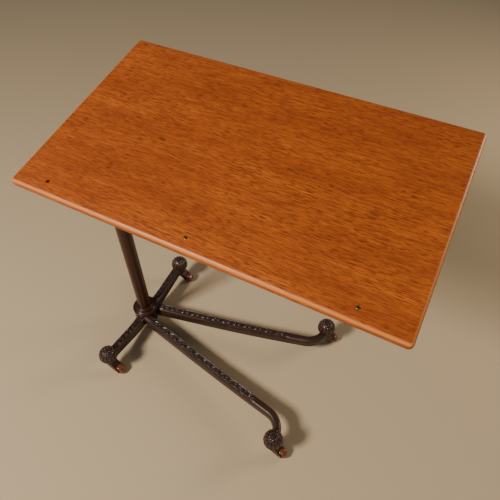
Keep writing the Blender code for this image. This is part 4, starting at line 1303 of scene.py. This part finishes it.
def slotted_screw(radius: float, height: float, shank: float, shank_radius: float) -> Shape:
    """A screw with a domed and slotted head, head up, that sits on Z 0.

    Args:
        radius: The head's radius.
        height: The head's height.
        shank: How far the shank reaches down.
        shank_radius: The shank's radius.

    Returns:
        The closed shape.
    """
    rim, point = 0.3 * height, 0.6 * shank_radius
    crown = [(radius * math.cos(a), rim + (height - rim) * math.sin(a))
             for a in (math.radians(15 * i) for i in range(6))]
    item = as_object("screw", turned([
        (0, -shank), (point, -shank), (shank_radius, point - shank), (shank_radius, 0),
        (radius - 0.1 * height, 0), (radius, 0.1 * height), *crown, (0, height)], 32))
    slot = slab(Vector((3 * radius, 0.24 * radius, height)), 0.1 * radius, 0, 2)
    cut_away(item, moved(slot, at(0, 0, height + 0.05 * height)))
    shape = bmesh.new()
    shape.from_mesh(item.data)
    bpy.data.meshes.remove(item.data)
    return shape


@dataclass(frozen=True)
class Column:
    """The drawn tube, and the collar on its top with the clamp's boss."""

    places: Places
    radius: float = 19 * MM
    wall: float = 1.6 * MM
    low: float = 36.3 * MM
    high: float = 640.4 * MM
    collar_radius: float = 26 * MM
    collar_low: float = 618 * MM
    collar_high: float = 652 * MM
    collar_bore: float = 19.3 * MM
    lip: float = 8 * MM
    post_bore: float = 15.6 * MM
    boss_radius: float = 9 * MM
    boss_reach: float = 33 * MM
    clamp_height: float = 630 * MM
    clamp_bore: float = 4.3 * MM
    clamp_bore_span: Point = (10 * MM, 40 * MM)
    clamp_tip: float = 15.3 * MM
    steps: int = 96

    @property
    def clamp(self) -> Matrix:
        """The height clamp's frame in the column's, with Z out of the boss."""
        return at(0, 0, self.clamp_height) @ ALONG_MINUS_X

    def tube(self) -> Shape:
        """The drawn tube.

        Returns:
            The closed shape.
        """
        inner = self.radius - self.wall
        return turned([(inner, self.low), (inner, self.high), (self.radius - 0.3 * MM, self.high),
                       (self.radius, self.high - 0.3 * MM), (self.radius, self.low)], self.steps, ring=True)

    def collar(self) -> Item:
        """The collar, blended into its boss and then bored.

        Returns:
            The collar's object.
        """
        r, low, high = self.collar_radius, self.collar_low, self.collar_high
        foot = from_corner([(-2, 0, 1), (-0.4, 1.6, 1), (-0.4, 4, 0.6), (-1.4, 4.8, 0.6)], r, low)
        bead = from_corner([(-1.4, -6.6, 0.6), (0, -5.8, 0.8), (0, -2, 1.8), (-4, 0, 1)], r, high)
        body = turned(eased([(0, low, 0), *foot, *bead, (0, high, 0)], 4), self.steps)
        b, reach = self.boss_radius, self.boss_reach
        boss = turned(eased([(0, 0, 0), (b, 0, 0), (b, reach, 1.2 * MM), (0, reach, 0)], 4), 48)
        shapes = [body, moved(boss, self.clamp)]
        item = cast_together(as_object("cast_collar", together(shapes)), 0.8 * MM, 4)
        bored(item, self.collar_bore, low - OVERSHOOT, high - self.lip, self.steps)
        bored(item, self.post_bore, low, high + OVERSHOOT, self.steps)
        bored(item, self.clamp_bore, *self.clamp_bore_span, 32, self.clamp)
        item.data.transform(self.places.upright)
        return item

    def dress(self, dresser: Dresser) -> None:
        """Build the column.

        Args:
            dresser: What gives the pieces their finish and body.
        """
        dresser.solid("drawn_column", moved(self.tube(), self.places.upright), Finish.TUBE, "column_tube")
        dresser.piece(self.collar(), Finish.IRON, "column_collar")
        dresser.node(Finish.BRASS, "column_bush", "post_guide_ring")
        dresser.node(Finish.BLACKED, "collar_pin_front", "collar_pin_back")


@dataclass(frozen=True)
class Thumbscrew:
    """A thumbscrew: a shank, a turned hub and two pressed wings, along its own Z."""

    name: str
    node: str
    place: Matrix
    tip: float
    shoulder: float
    shank: float = 4 * MM
    neck: float = 1 * MM
    hub: float = 6.5 * MM
    hub_length: float = 10 * MM
    wing: float = 7.5 * MM
    wing_thickness: float = 3.5 * MM
    wing_offset: float = 9.5 * MM
    wing_rise: float = 8.5 * MM

    def dress(self, dresser: Dresser) -> None:
        """Build the thumbscrew.

        Args:
            dresser: What gives the pieces their finish and body.
        """
        low = self.shoulder + self.neck
        high = low + self.hub_length
        shapes = [turned(eased([(0, low, 0), (self.hub, low, 1 * MM), (self.hub - 1.5 * MM, high, 1.5 * MM),
                                (0, high, 0)], 4), 48)]
        for side in (-1, 1):
            disc = bmesh.new()
            bmesh.ops.create_circle(disc, cap_ends=True, segments=48, radius=self.wing)
            outline = [tuple(vert.co.xy) for vert in disc.verts]
            disc.free()
            place = at(side * self.wing_offset, 0, low + self.wing_rise) @ ALONG_MINUS_Y
            shapes.append(moved(plate(outline, self.wing_thickness, 1.4 * MM, 4), place))
        item = cast_together(as_object(self.name, together(shapes)), 0.5 * MM, 5)
        body = bmesh.new()
        body.from_mesh(item.data)
        shank = turned([(0, self.tip), (self.shank - 0.8 * MM, self.tip), (self.shank, self.tip + 0.8 * MM),
                        (self.shank, low + 2 * MM), (0, low + 2 * MM)], 32)
        whole = moved(together([body, shank]), self.place)
        whole.to_mesh(item.data)
        whole.free()
        dresser.piece(item, Finish.IRON, self.node)


# Head, bar and brackets


@dataclass(frozen=True)
class Head:
    """The post and the head casting on it, which the bar turns in."""

    places: Places
    post_radius: float = 15 * MM
    post_wall: float = 2.5 * MM
    post_top: float = 713.6 * MM
    socket_radius: float = 21.5 * MM
    drop: float = 45 * MM
    cap_radius: float = 9 * MM
    cap_rise: float = 4.5 * MM
    boss_radius: float = 18 * MM
    right: float = 60 * MM
    left: float = 23 * MM
    bar_radius: float = 11 * MM
    clearance: float = 0.3 * MM
    bore_reach: float = 100 * MM
    pad_radius: float = 8 * MM
    clamp_place: float = 41 * MM
    clamp_bore: float = 4.3 * MM
    clamp_depth: float = 30 * MM
    clamp_tip: float = 11.3 * MM
    steps: int = 96

    @property
    def clamp(self) -> Matrix:
        """The tilt clamp's frame from the tilt axis, with Z down out of the boss."""
        return at(self.clamp_place, 0, 0) @ DOWNWARD

    def casting(self) -> Item:
        """The casting: a socket and a boss blended together, then bored.

        Returns:
            The casting's object.
        """
        axis = self.places.axis.z
        low, top, b = axis - self.drop, axis + self.cap_rise, self.boss_radius
        foot = from_corner([(0, 0, 1.6), (0, 5, 1), (-1.6, 6.4, 1)], self.socket_radius, low)
        waist = from_corner([(-0.6, -12, 4)], self.socket_radius, axis)
        cap = from_corner([(3, -1, 4)], self.cap_radius, top)
        socket = turned(eased([(0, low, 0), *foot, *waist, *cap, (0, top, 0)], 5), self.steps)
        beads = [*from_corner([(0, 0, 1.6), (0, 5, 0.8), (-1.2, 6, 0.8)], b, -self.left),
                 *from_corner([(-1.2, -6, 0.8), (0, -5, 0.8), (0, 0, 1.6)], b, self.right)]
        boss = turned(eased([(0, -self.left, 0), *beads, (0, self.right, 0)], 4), self.steps)
        moved(boss, at(0, 0, axis) @ ALONG_X)
        p = self.pad_radius
        pad = turned(eased([(0, 0, 0), (p, 0, 0), (p, b, 1 * MM), (0, b, 0)], 4), 48)
        moved(pad, at(0, 0, axis) @ self.clamp)
        item = cast_together(as_object("cast_head", together([socket, boss, pad])), 1.0 * MM, 5)
        reach = self.bore_reach
        bored(item, self.bar_radius + self.clearance, -reach, reach, 64, at(0, 0, axis) @ ALONG_X)
        post_end = self.post_top + self.clearance
        bored(item, self.post_radius + self.clearance, low - OVERSHOOT, post_end, self.steps)
        bored(item, self.clamp_bore, 0, self.clamp_depth, 32, at(0, 0, axis) @ self.clamp)
        item.data.transform(self.places.upright)
        return item

    def dress(self, dresser: Dresser) -> None:
        """Build the head and the post.

        Args:
            dresser: What gives the pieces their finish and body.
        """
        dresser.piece(self.casting(), Finish.IRON, "head_casting")
        low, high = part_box("inner_post")[0].z, self.post_top
        inner, outer = self.post_radius - self.post_wall, self.post_radius
        post = turned([(inner, low), (inner, high), (outer, high), (outer, low + 0.5 * MM),
                       (outer - 0.5 * MM, low)], self.steps, ring=True)
        dresser.solid("turned_post", moved(post, self.places.upright), Finish.STEEL, "inner_post")
        dresser.node(Finish.STEEL, "upper_retaining_ring", "lower_retaining_ring")
        dresser.node(Finish.BLACKED, "head_pin")


@dataclass(frozen=True)
class BarAndBrackets:
    """The bar that the board turns about, its end ring, and the brackets screwed under the board."""

    places: Places
    radius: float = 11 * MM
    left: float = -33.3 * MM
    right: float = 560 * MM
    ring_radius: float = 16.5 * MM
    ring_length: float = 10 * MM
    hub_radius: float = 17.5 * MM
    hub_length: float = 34 * MM
    web: float = 10 * MM
    web_foot: float = 40 * MM
    flange: Corner = (42 * MM, 110 * MM, 6 * MM)
    flange_corner: float = 10 * MM
    underside: float = 40 * MM
    clearance: float = 0.3 * MM
    screw_spread: Point = (26 * MM, 88 * MM)
    screw_radius: float = 4.2 * MM
    screw_head: float = 2.6 * MM
    screw_shank: Point = (18 * MM, 2.2 * MM)
    screw_turns: Point = (0.7, 9.0)
    bore_reach: float = 100 * MM
    left_place: float = 86 * MM
    right_place: float = 530 * MM

    def bracket(self, name: str, middle: float) -> Item:
        """A bracket casting in the board's frame.

        Args:
            name: The piece's name.
            middle: Its place along the bar.

        Returns:
            The blended and bored casting.
        """
        top = self.underside - self.clearance
        flange = moved(slab(Vector(self.flange), self.flange_corner, 1.2 * MM, 4),
                       at(middle, 0, top - self.flange[2] / 2))
        h = self.hub_length / 2
        beads = [*from_corner([(0, 0, 1.5), (0, 4, 0.8), (-1, 5, 0.8)], self.hub_radius, -h),
                 *from_corner([(-1, -5, 0.8), (0, -4, 0.8), (0, 0, 1.5)], self.hub_radius, h)]
        barrel = turned(eased([(0, -h, 0), *beads, (0, h, 0)], 4), 72)
        moved(barrel, at(middle, 0, 0) @ ALONG_X)
        reach = self.hub_radius - self.clearance
        foot = top - self.flange[2] / 2
        web = plate(eased([
            (self.web_foot, foot, 0), (reach, 0, 6 * MM), (0, -reach / 2, 0), (-reach, 0, 6 * MM),
            (-self.web_foot, foot, 0)], 5), self.web, 1.2 * MM, 3)
        moved(web, at(middle, 0, 0) @ Matrix.Rotation(math.pi / 2, 4, "Z") @ ALONG_MINUS_Y)
        item = cast_together(as_object(name, together([flange, barrel, web])), 1.1 * MM, 4)
        over = slab(Vector((200 * MM, 200 * MM, 20 * MM)), 0, 0, 1)
        cut_away(item, moved(over, at(middle, 0, top + 10 * MM)))
        bored(item, self.radius + self.clearance, -self.bore_reach, self.bore_reach, 64,
              at(middle, 0, 0) @ ALONG_X)
        item.data.transform(self.places.table)
        return item

    def dress(self, dresser: Dresser) -> None:
        """Build the bar, its ring, the brackets and their screws.

        Args:
            dresser: What gives the pieces their finish and body.
        """
        table = self.places.table
        r, start, end = self.radius, self.left, self.left + self.ring_length
        bar = turned(eased([
            (0, start, 0), *from_corner([(-0.2, 0, 0.8), (-0.2, 9, 0), (0, 9.4, 0)], r, start),
            (r, self.right, 1.2 * MM), (0, self.right, 0)], 4), 96)
        dresser.solid("turned_bar", moved(bar, table @ ALONG_X), Finish.STEEL, "tilt_bar")
        bore = r + self.clearance
        rounds = [*from_corner([(-2, 0, 1.6), (0, 3, 1.6)], self.ring_radius, start),
                  *from_corner([(0, -3, 1.6), (-2, 0, 1.2)], self.ring_radius, end)]
        ring = turned(eased([(bore, start, 0.4 * MM), *rounds, (bore, end, 0.4 * MM)], 4), 96, ring=True)
        dresser.solid("cast_end_ring", moved(ring, table @ ALONG_X), Finish.IRON, "bar_end_ring")
        seat = self.underside - self.clearance * 2 - self.flange[2]
        across, deep = (spread / 2 for spread in self.screw_spread)
        for side, middle in (("left", self.left_place), ("right", self.right_place)):
            dresser.piece(self.bracket("cast_bracket_" + side, middle), Finish.IRON, "bracket_" + side)
            spots = [(sx * across, sy * deep) for sx in (-1, 1) for sy in (-1, 1)]
            for i, (x, y) in enumerate(spots, 1):
                screw = slotted_screw(self.screw_radius, self.screw_head, *self.screw_shank)
                spin = Matrix.Rotation(self.screw_turns[0] * i + middle * self.screw_turns[1], 4, "Z")
                moved(screw, table @ at(middle + x, y, seat) @ DOWNWARD @ spin)
                dresser.solid(f"slotted_screw_{side}_{i}", screw, Finish.BLACKED, f"bracket_screw_{side}_{i}")
        dresser.node(Finish.BLACKED, "bar_end_pin", "bracket_pin_left", "bracket_pin_right")


@dataclass(frozen=True)
class Board:
    """The timber board with its bullnosed edge and the three brass sockets for a ledge."""

    places: Places
    size: Corner = (740 * MM, 429.8 * MM, 20 * MM)
    middle: Corner = (352 * MM, 11.6 * MM, 50 * MM)
    corner: float = 8 * MM
    edge: float = 8.8 * MM
    top: float = 60 * MM
    socket_radius: float = 3.8 * MM
    socket_hole: float = 1.5 * MM
    socket_fit: float = 0.1 * MM
    socket_length: float = 14 * MM
    socket_depth: float = 12 * MM
    socket_pitch: float = 290.08 * MM
    socket_offset: float = -8 * MM
    socket_inset: float = 25 * MM

    def socket_spots(self) -> list[Vector]:
        """Where the sockets stand on the board's top.

        Returns:
            The middles of their tops, in the board's frame.
        """
        front = self.middle[1] - self.size[1] / 2 + self.socket_inset
        return [Vector((self.middle[0] + self.socket_offset + i * self.socket_pitch, front, self.top))
                for i in (-1, 0, 1)]

    def dress(self, dresser: Dresser) -> None:
        """Build the board and its sockets.

        Args:
            dresser: What gives the pieces their finish and body.
        """
        shape = slab(Vector(self.size), self.corner, self.edge, 8)
        item = as_object("timber_board", moved(shape, Matrix.Translation(self.middle)))
        r, bore, low, deep = self.socket_radius, self.socket_hole, -self.socket_length, self.socket_depth
        for spot in self.socket_spots():
            bored(item, r + self.socket_fit, low, 2 * OVERSHOOT, 48, Matrix.Translation(spot))
        item.data.transform(self.places.table)
        dresser.piece(item, Finish.OAK, "board")
        finishes = (Finish.STAINED_BRASS, Finish.BRASS, Finish.BRASS)
        for side, spot, finish in zip(("left", "middle", "right"), self.socket_spots(), finishes):
            sleeve = turned(eased([
                (0, low, 0), (r, low, 0), (r, 0.15 * MM, 0.5 * MM), (bore + 0.3 * MM, 0.15 * MM, 0.2 * MM),
                (bore, -0.6 * MM, 0), (bore, -deep, 0), (0, -deep - MM, 0)], 3), 48)
            moved(sleeve, self.places.table @ Matrix.Translation(spot))
            dresser.solid("turned_socket_" + side, sleeve, finish, "ledge_socket_" + side)


# Casters


@dataclass(frozen=True)
class Caster:
    """A caster in its own frame: a forged horn on a pintle, and a turned hardwood wheel."""

    foot: Foot
    wheel_radius: float = 15.5 * MM
    wheel_width: float = 19 * MM
    wheel_round: float = 4.2 * MM
    wheel_clearance: float = 0.6 * MM
    pocket_clearance: float = 2.2 * MM
    trail: float = 27 * MM
    width: float = 26 * MM
    lap: float = 1.25 * MM
    top: float = 45.7 * MM
    neck_radius: float = 13.3 * MM
    neck_height: float = 8 * MM
    heel: float = 10.5 * MM
    toe: float = 12.5 * MM
    eye: float = 6.5 * MM
    eye_from: float = -140
    eye_sweep: float = 175
    eye_steps: int = 14
    axle_radius: float = 2.5 * MM
    axle_proud: float = 0.6 * MM
    bore_reach: float = 50 * MM

    @property
    def axle(self) -> Matrix:
        """The axle's frame in the caster's."""
        return at(self.trail, 0, self.wheel_radius) @ ALONG_Y

    def outline(self) -> list[Point]:
        """The horn's side: flat under the boss, then back and down to the axle's eye.

        Returns:
            The outline's points, back to front.
        """
        top = self.top - self.lap
        angles = [math.radians(self.eye_from + self.eye_sweep * i / self.eye_steps)
                  for i in range(self.eye_steps + 1)]
        eye = [(self.trail + self.eye * math.cos(a), self.wheel_radius + self.eye * math.sin(a))
               for a in angles]
        low = self.top - self.neck_height
        back = eased([(-self.heel, top, 0.8 * MM), (-self.heel, low, 3 * MM), (*eye[0], 0)], 4)
        front = eased([(*eye[-1], 0), (self.toe, top, 1.5 * MM), (-self.heel, top, 0)], 4)
        return back[:-1] + eye + front[1:-1]

    def horn(self) -> Item:
        """The horn, softened as a casting is, with a pocket for its wheel.

        Returns:
            The horn's object.
        """
        sides = moved(plate(self.outline(), self.width, 0.8 * MM, 3), ALONG_MINUS_Y)
        low, r = self.top - self.neck_height, self.neck_radius
        neck = turned(eased([
            (0, low, 0), (r, low, 1.2 * MM), (r, self.top, 0.8 * MM), (0, self.top, 0)], 4), 72)
        item = cast_together(as_object("cast_horn_" + self.foot.name, together([sides, neck])), 0.7 * MM, 4)
        half = self.wheel_width / 2 + self.wheel_clearance
        bored(item, self.wheel_radius + self.pocket_clearance, -half, half, 72, self.axle)
        bored(item, self.axle_radius + 0.2 * MM, -self.bore_reach, self.bore_reach, 32, self.axle)
        item.data.transform(self.foot.caster)
        return item

    def wheel(self) -> Shape:
        """The wheel: round shoulders, a dished face and a raised boss.

        Returns:
            The closed shape.
        """
        r, half, bore = self.wheel_radius, self.wheel_width / 2, self.axle_radius + 0.3 * MM
        side = [*from_corner([(0, 0, 0.3), (3, 0, 0.8), (4, -1.1, 0.8)], bore, half),
                *from_corner([(-6.4, -1.1, 0.8), (-5.2, 0, 0.6)], r, half), (r, half, self.wheel_round)]
        mirror = [(x, -y, c) for x, y, c in reversed(side)]
        return turned(eased(side + mirror, 6), 72, ring=True)

    def dress(self, dresser: Dresser) -> None:
        """Build the horn, its axle and its wheel.

        Args:
            dresser: What gives the pieces their finish and body.
        """
        name = self.foot.name
        dresser.piece(self.horn(), Finish.IRON, "horn_" + name)
        seat = self.foot.caster @ self.axle
        dresser.solid("turned_wheel_" + name, moved(self.wheel(), seat), Finish.HARDWOOD, "wheel_" + name)
        half, r = self.width / 2 + self.axle_proud, self.axle_radius
        pin = turned(eased([(0, -half, 0), (r, -half, 0.9 * MM), (r, half, 0.9 * MM), (0, half, 0)], 5), 32)
        dresser.solid("turned_axle_" + name, moved(pin, seat), Finish.STEEL, "axle_" + name)
        dresser.node(Finish.BLACKED, "pintle_" + name)


# Studio


@dataclass(frozen=True)
class Lamp:
    """A soft square lamp: its place and side in metres, its power in watts and its tint."""

    name: str
    place: Corner
    side: float
    watts: float
    tint: str

    def hang(self, aim: Corner) -> None:
        """Hang the lamp so that it faces a point.

        Args:
            aim: The point.
        """
        data = bpy.data.lights.new(self.name, "AREA")
        data.shape, data.size, data.energy, data.color = "SQUARE", self.side, self.watts, srgb(self.tint)[:3]
        lamp = bpy.data.objects.new(self.name, data)
        turn = (Vector(self.place) - Vector(aim)).to_track_quat("Z", "Y")
        lamp.matrix_world = at(*self.place) @ turn.to_matrix().to_4x4()
        bpy.context.scene.collection.objects.link(lamp)


@dataclass(frozen=True)
class Studio:
    """A pale paper floor, soft lamps and the camera where the photograph was taken."""

    place: Corner = (0.3291, -0.5939, 1.3188)
    right: Corner = (0.88903, 0.45780, 0.00759)
    up: Corner = (-0.35218, 0.67314, 0.65028)
    lens: float = 34.076
    sensor: float = 36
    floor_size: float = 14.0
    aim: Corner = (-0.05, 0.0, 0.35)
    lamps: tuple[Lamp, ...] = (
        Lamp("key_lamp", (-1.35, -2.35, 2.8), 0.68, 182, "#ffeedd"),
        Lamp("edge_lamp", (1.9, 1.9, 1.3), 0.9, 34, "#ffe4c4"),
        Lamp("fill_lamp", (2.2, -2.4, 2.6), 2.4, 14, "#fff4e6"),
    )
    room: str = "#eeeeee"
    room_light: float = 0.13

    def camera(self) -> None:
        """Set the camera."""
        right, up = Vector(self.right), Vector(self.up)
        back = right.cross(up).normalized()
        turn = Matrix((right, up, back)).transposed().to_4x4()
        data = bpy.data.cameras.new("camera")
        data.lens, data.sensor_width = self.lens, self.sensor
        camera = bpy.data.objects.new("camera", data)
        camera.matrix_world = Matrix.Translation(self.place) @ turn
        bpy.context.scene.collection.objects.link(camera)
        bpy.context.scene.camera = camera

    def dress(self, paper: Material) -> None:
        """Set the floor, the lamps and the light of the room.

        Args:
            paper: The floor's finish.
        """
        shape = bmesh.new()
        bmesh.ops.create_grid(shape, x_segments=8, y_segments=8, size=self.floor_size / 2)
        floor = as_object("paper_floor", shape)
        floor.data.materials.append(paper)
        for lamp in self.lamps:
            lamp.hang(self.aim)
        world = bpy.data.worlds.new("room_light")
        world.use_nodes = True
        background = world.node_tree.nodes["Background"]
        connect(world.node_tree, background, {"Color": srgb(self.room), "Strength": self.room_light})
        bpy.context.scene.world = world


def finishes(places: Places) -> dict[Finish, Material]:
    """Make every finish once.

    Args:
        places: The table's frames.

    Returns:
        Each finish's material.
    """
    made = {
        Finish.OAK: OiledOak(places.table @ Vector(Board.middle), places.tilt),
        Finish.CARVED_IRON: JapannedIron(rough=(0.52, 0.27), gloss=0.5, coat=0.16, crest=True),
        Finish.IRON: JapannedIron(),
        Finish.TUBE: JapannedIron(lacquer="#3a180e", shade="#2a110a", skin_mm=5, skin_depth_mm=0.004,
                                  patch_mm=60, rough=(0.3, 0.36), coat=0.15),
        Finish.STEEL: BareMetal("#b4b0a7", "#a19c92", (0.24, 0.34), 28),
        Finish.BLACKED: BareMetal("#4a4540", "#2c2825", (0.3, 0.5)),
        Finish.BRASS: BareMetal("#d8b878", "#a07a40", (0.22, 0.42), 4),
        Finish.STAINED_BRASS: BareMetal("#8a4a20", "#6a3212", (0.4, 0.6), 4),
        Finish.HARDWOOD: VarnishedHardwood(),
        Finish.PAPER: StudioPaper(),
    }
    return {finish: recipe.build(finish.value) for finish, recipe in made.items()}


def main() -> None:
    """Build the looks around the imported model."""
    logging.basicConfig(level=logging.INFO, format="%(message)s")
    places = Places.measured()
    made = finishes(places)
    record = frame["record"]
    bodies = {node: body for body, nodes in record["behaviour"]["bodies"].items() for node in nodes}
    slots = {part["node"]: part["material_slot"] for part in record["subparts"]}
    dresser = Dresser(made, bodies, slots)
    studio = Studio()
    studio.camera()
    studio.dress(made[Finish.PAPER])
    HubCasting(places).dress(dresser)
    for foot in FEET:
        LegCasting(foot, places.column).dress(dresser)
        BudBall(foot).dress(dresser)
        Caster(foot).dress(dresser)
    column, head = Column(places), Head(places)
    for part in (column, head, BarAndBrackets(places), Board(places)):
        part.dress(dresser)
    Thumbscrew("height_thumbscrew", "height_clamp_screw", places.upright @ column.clamp,
               column.clamp_tip, column.boss_reach).dress(dresser)
    Thumbscrew("tilt_thumbscrew", "tilt_clamp_screw", Matrix.Translation(places.axis) @ head.clamp,
               head.clamp_tip, head.boss_radius).dress(dresser)


if __name__ == "__main__":
    main()
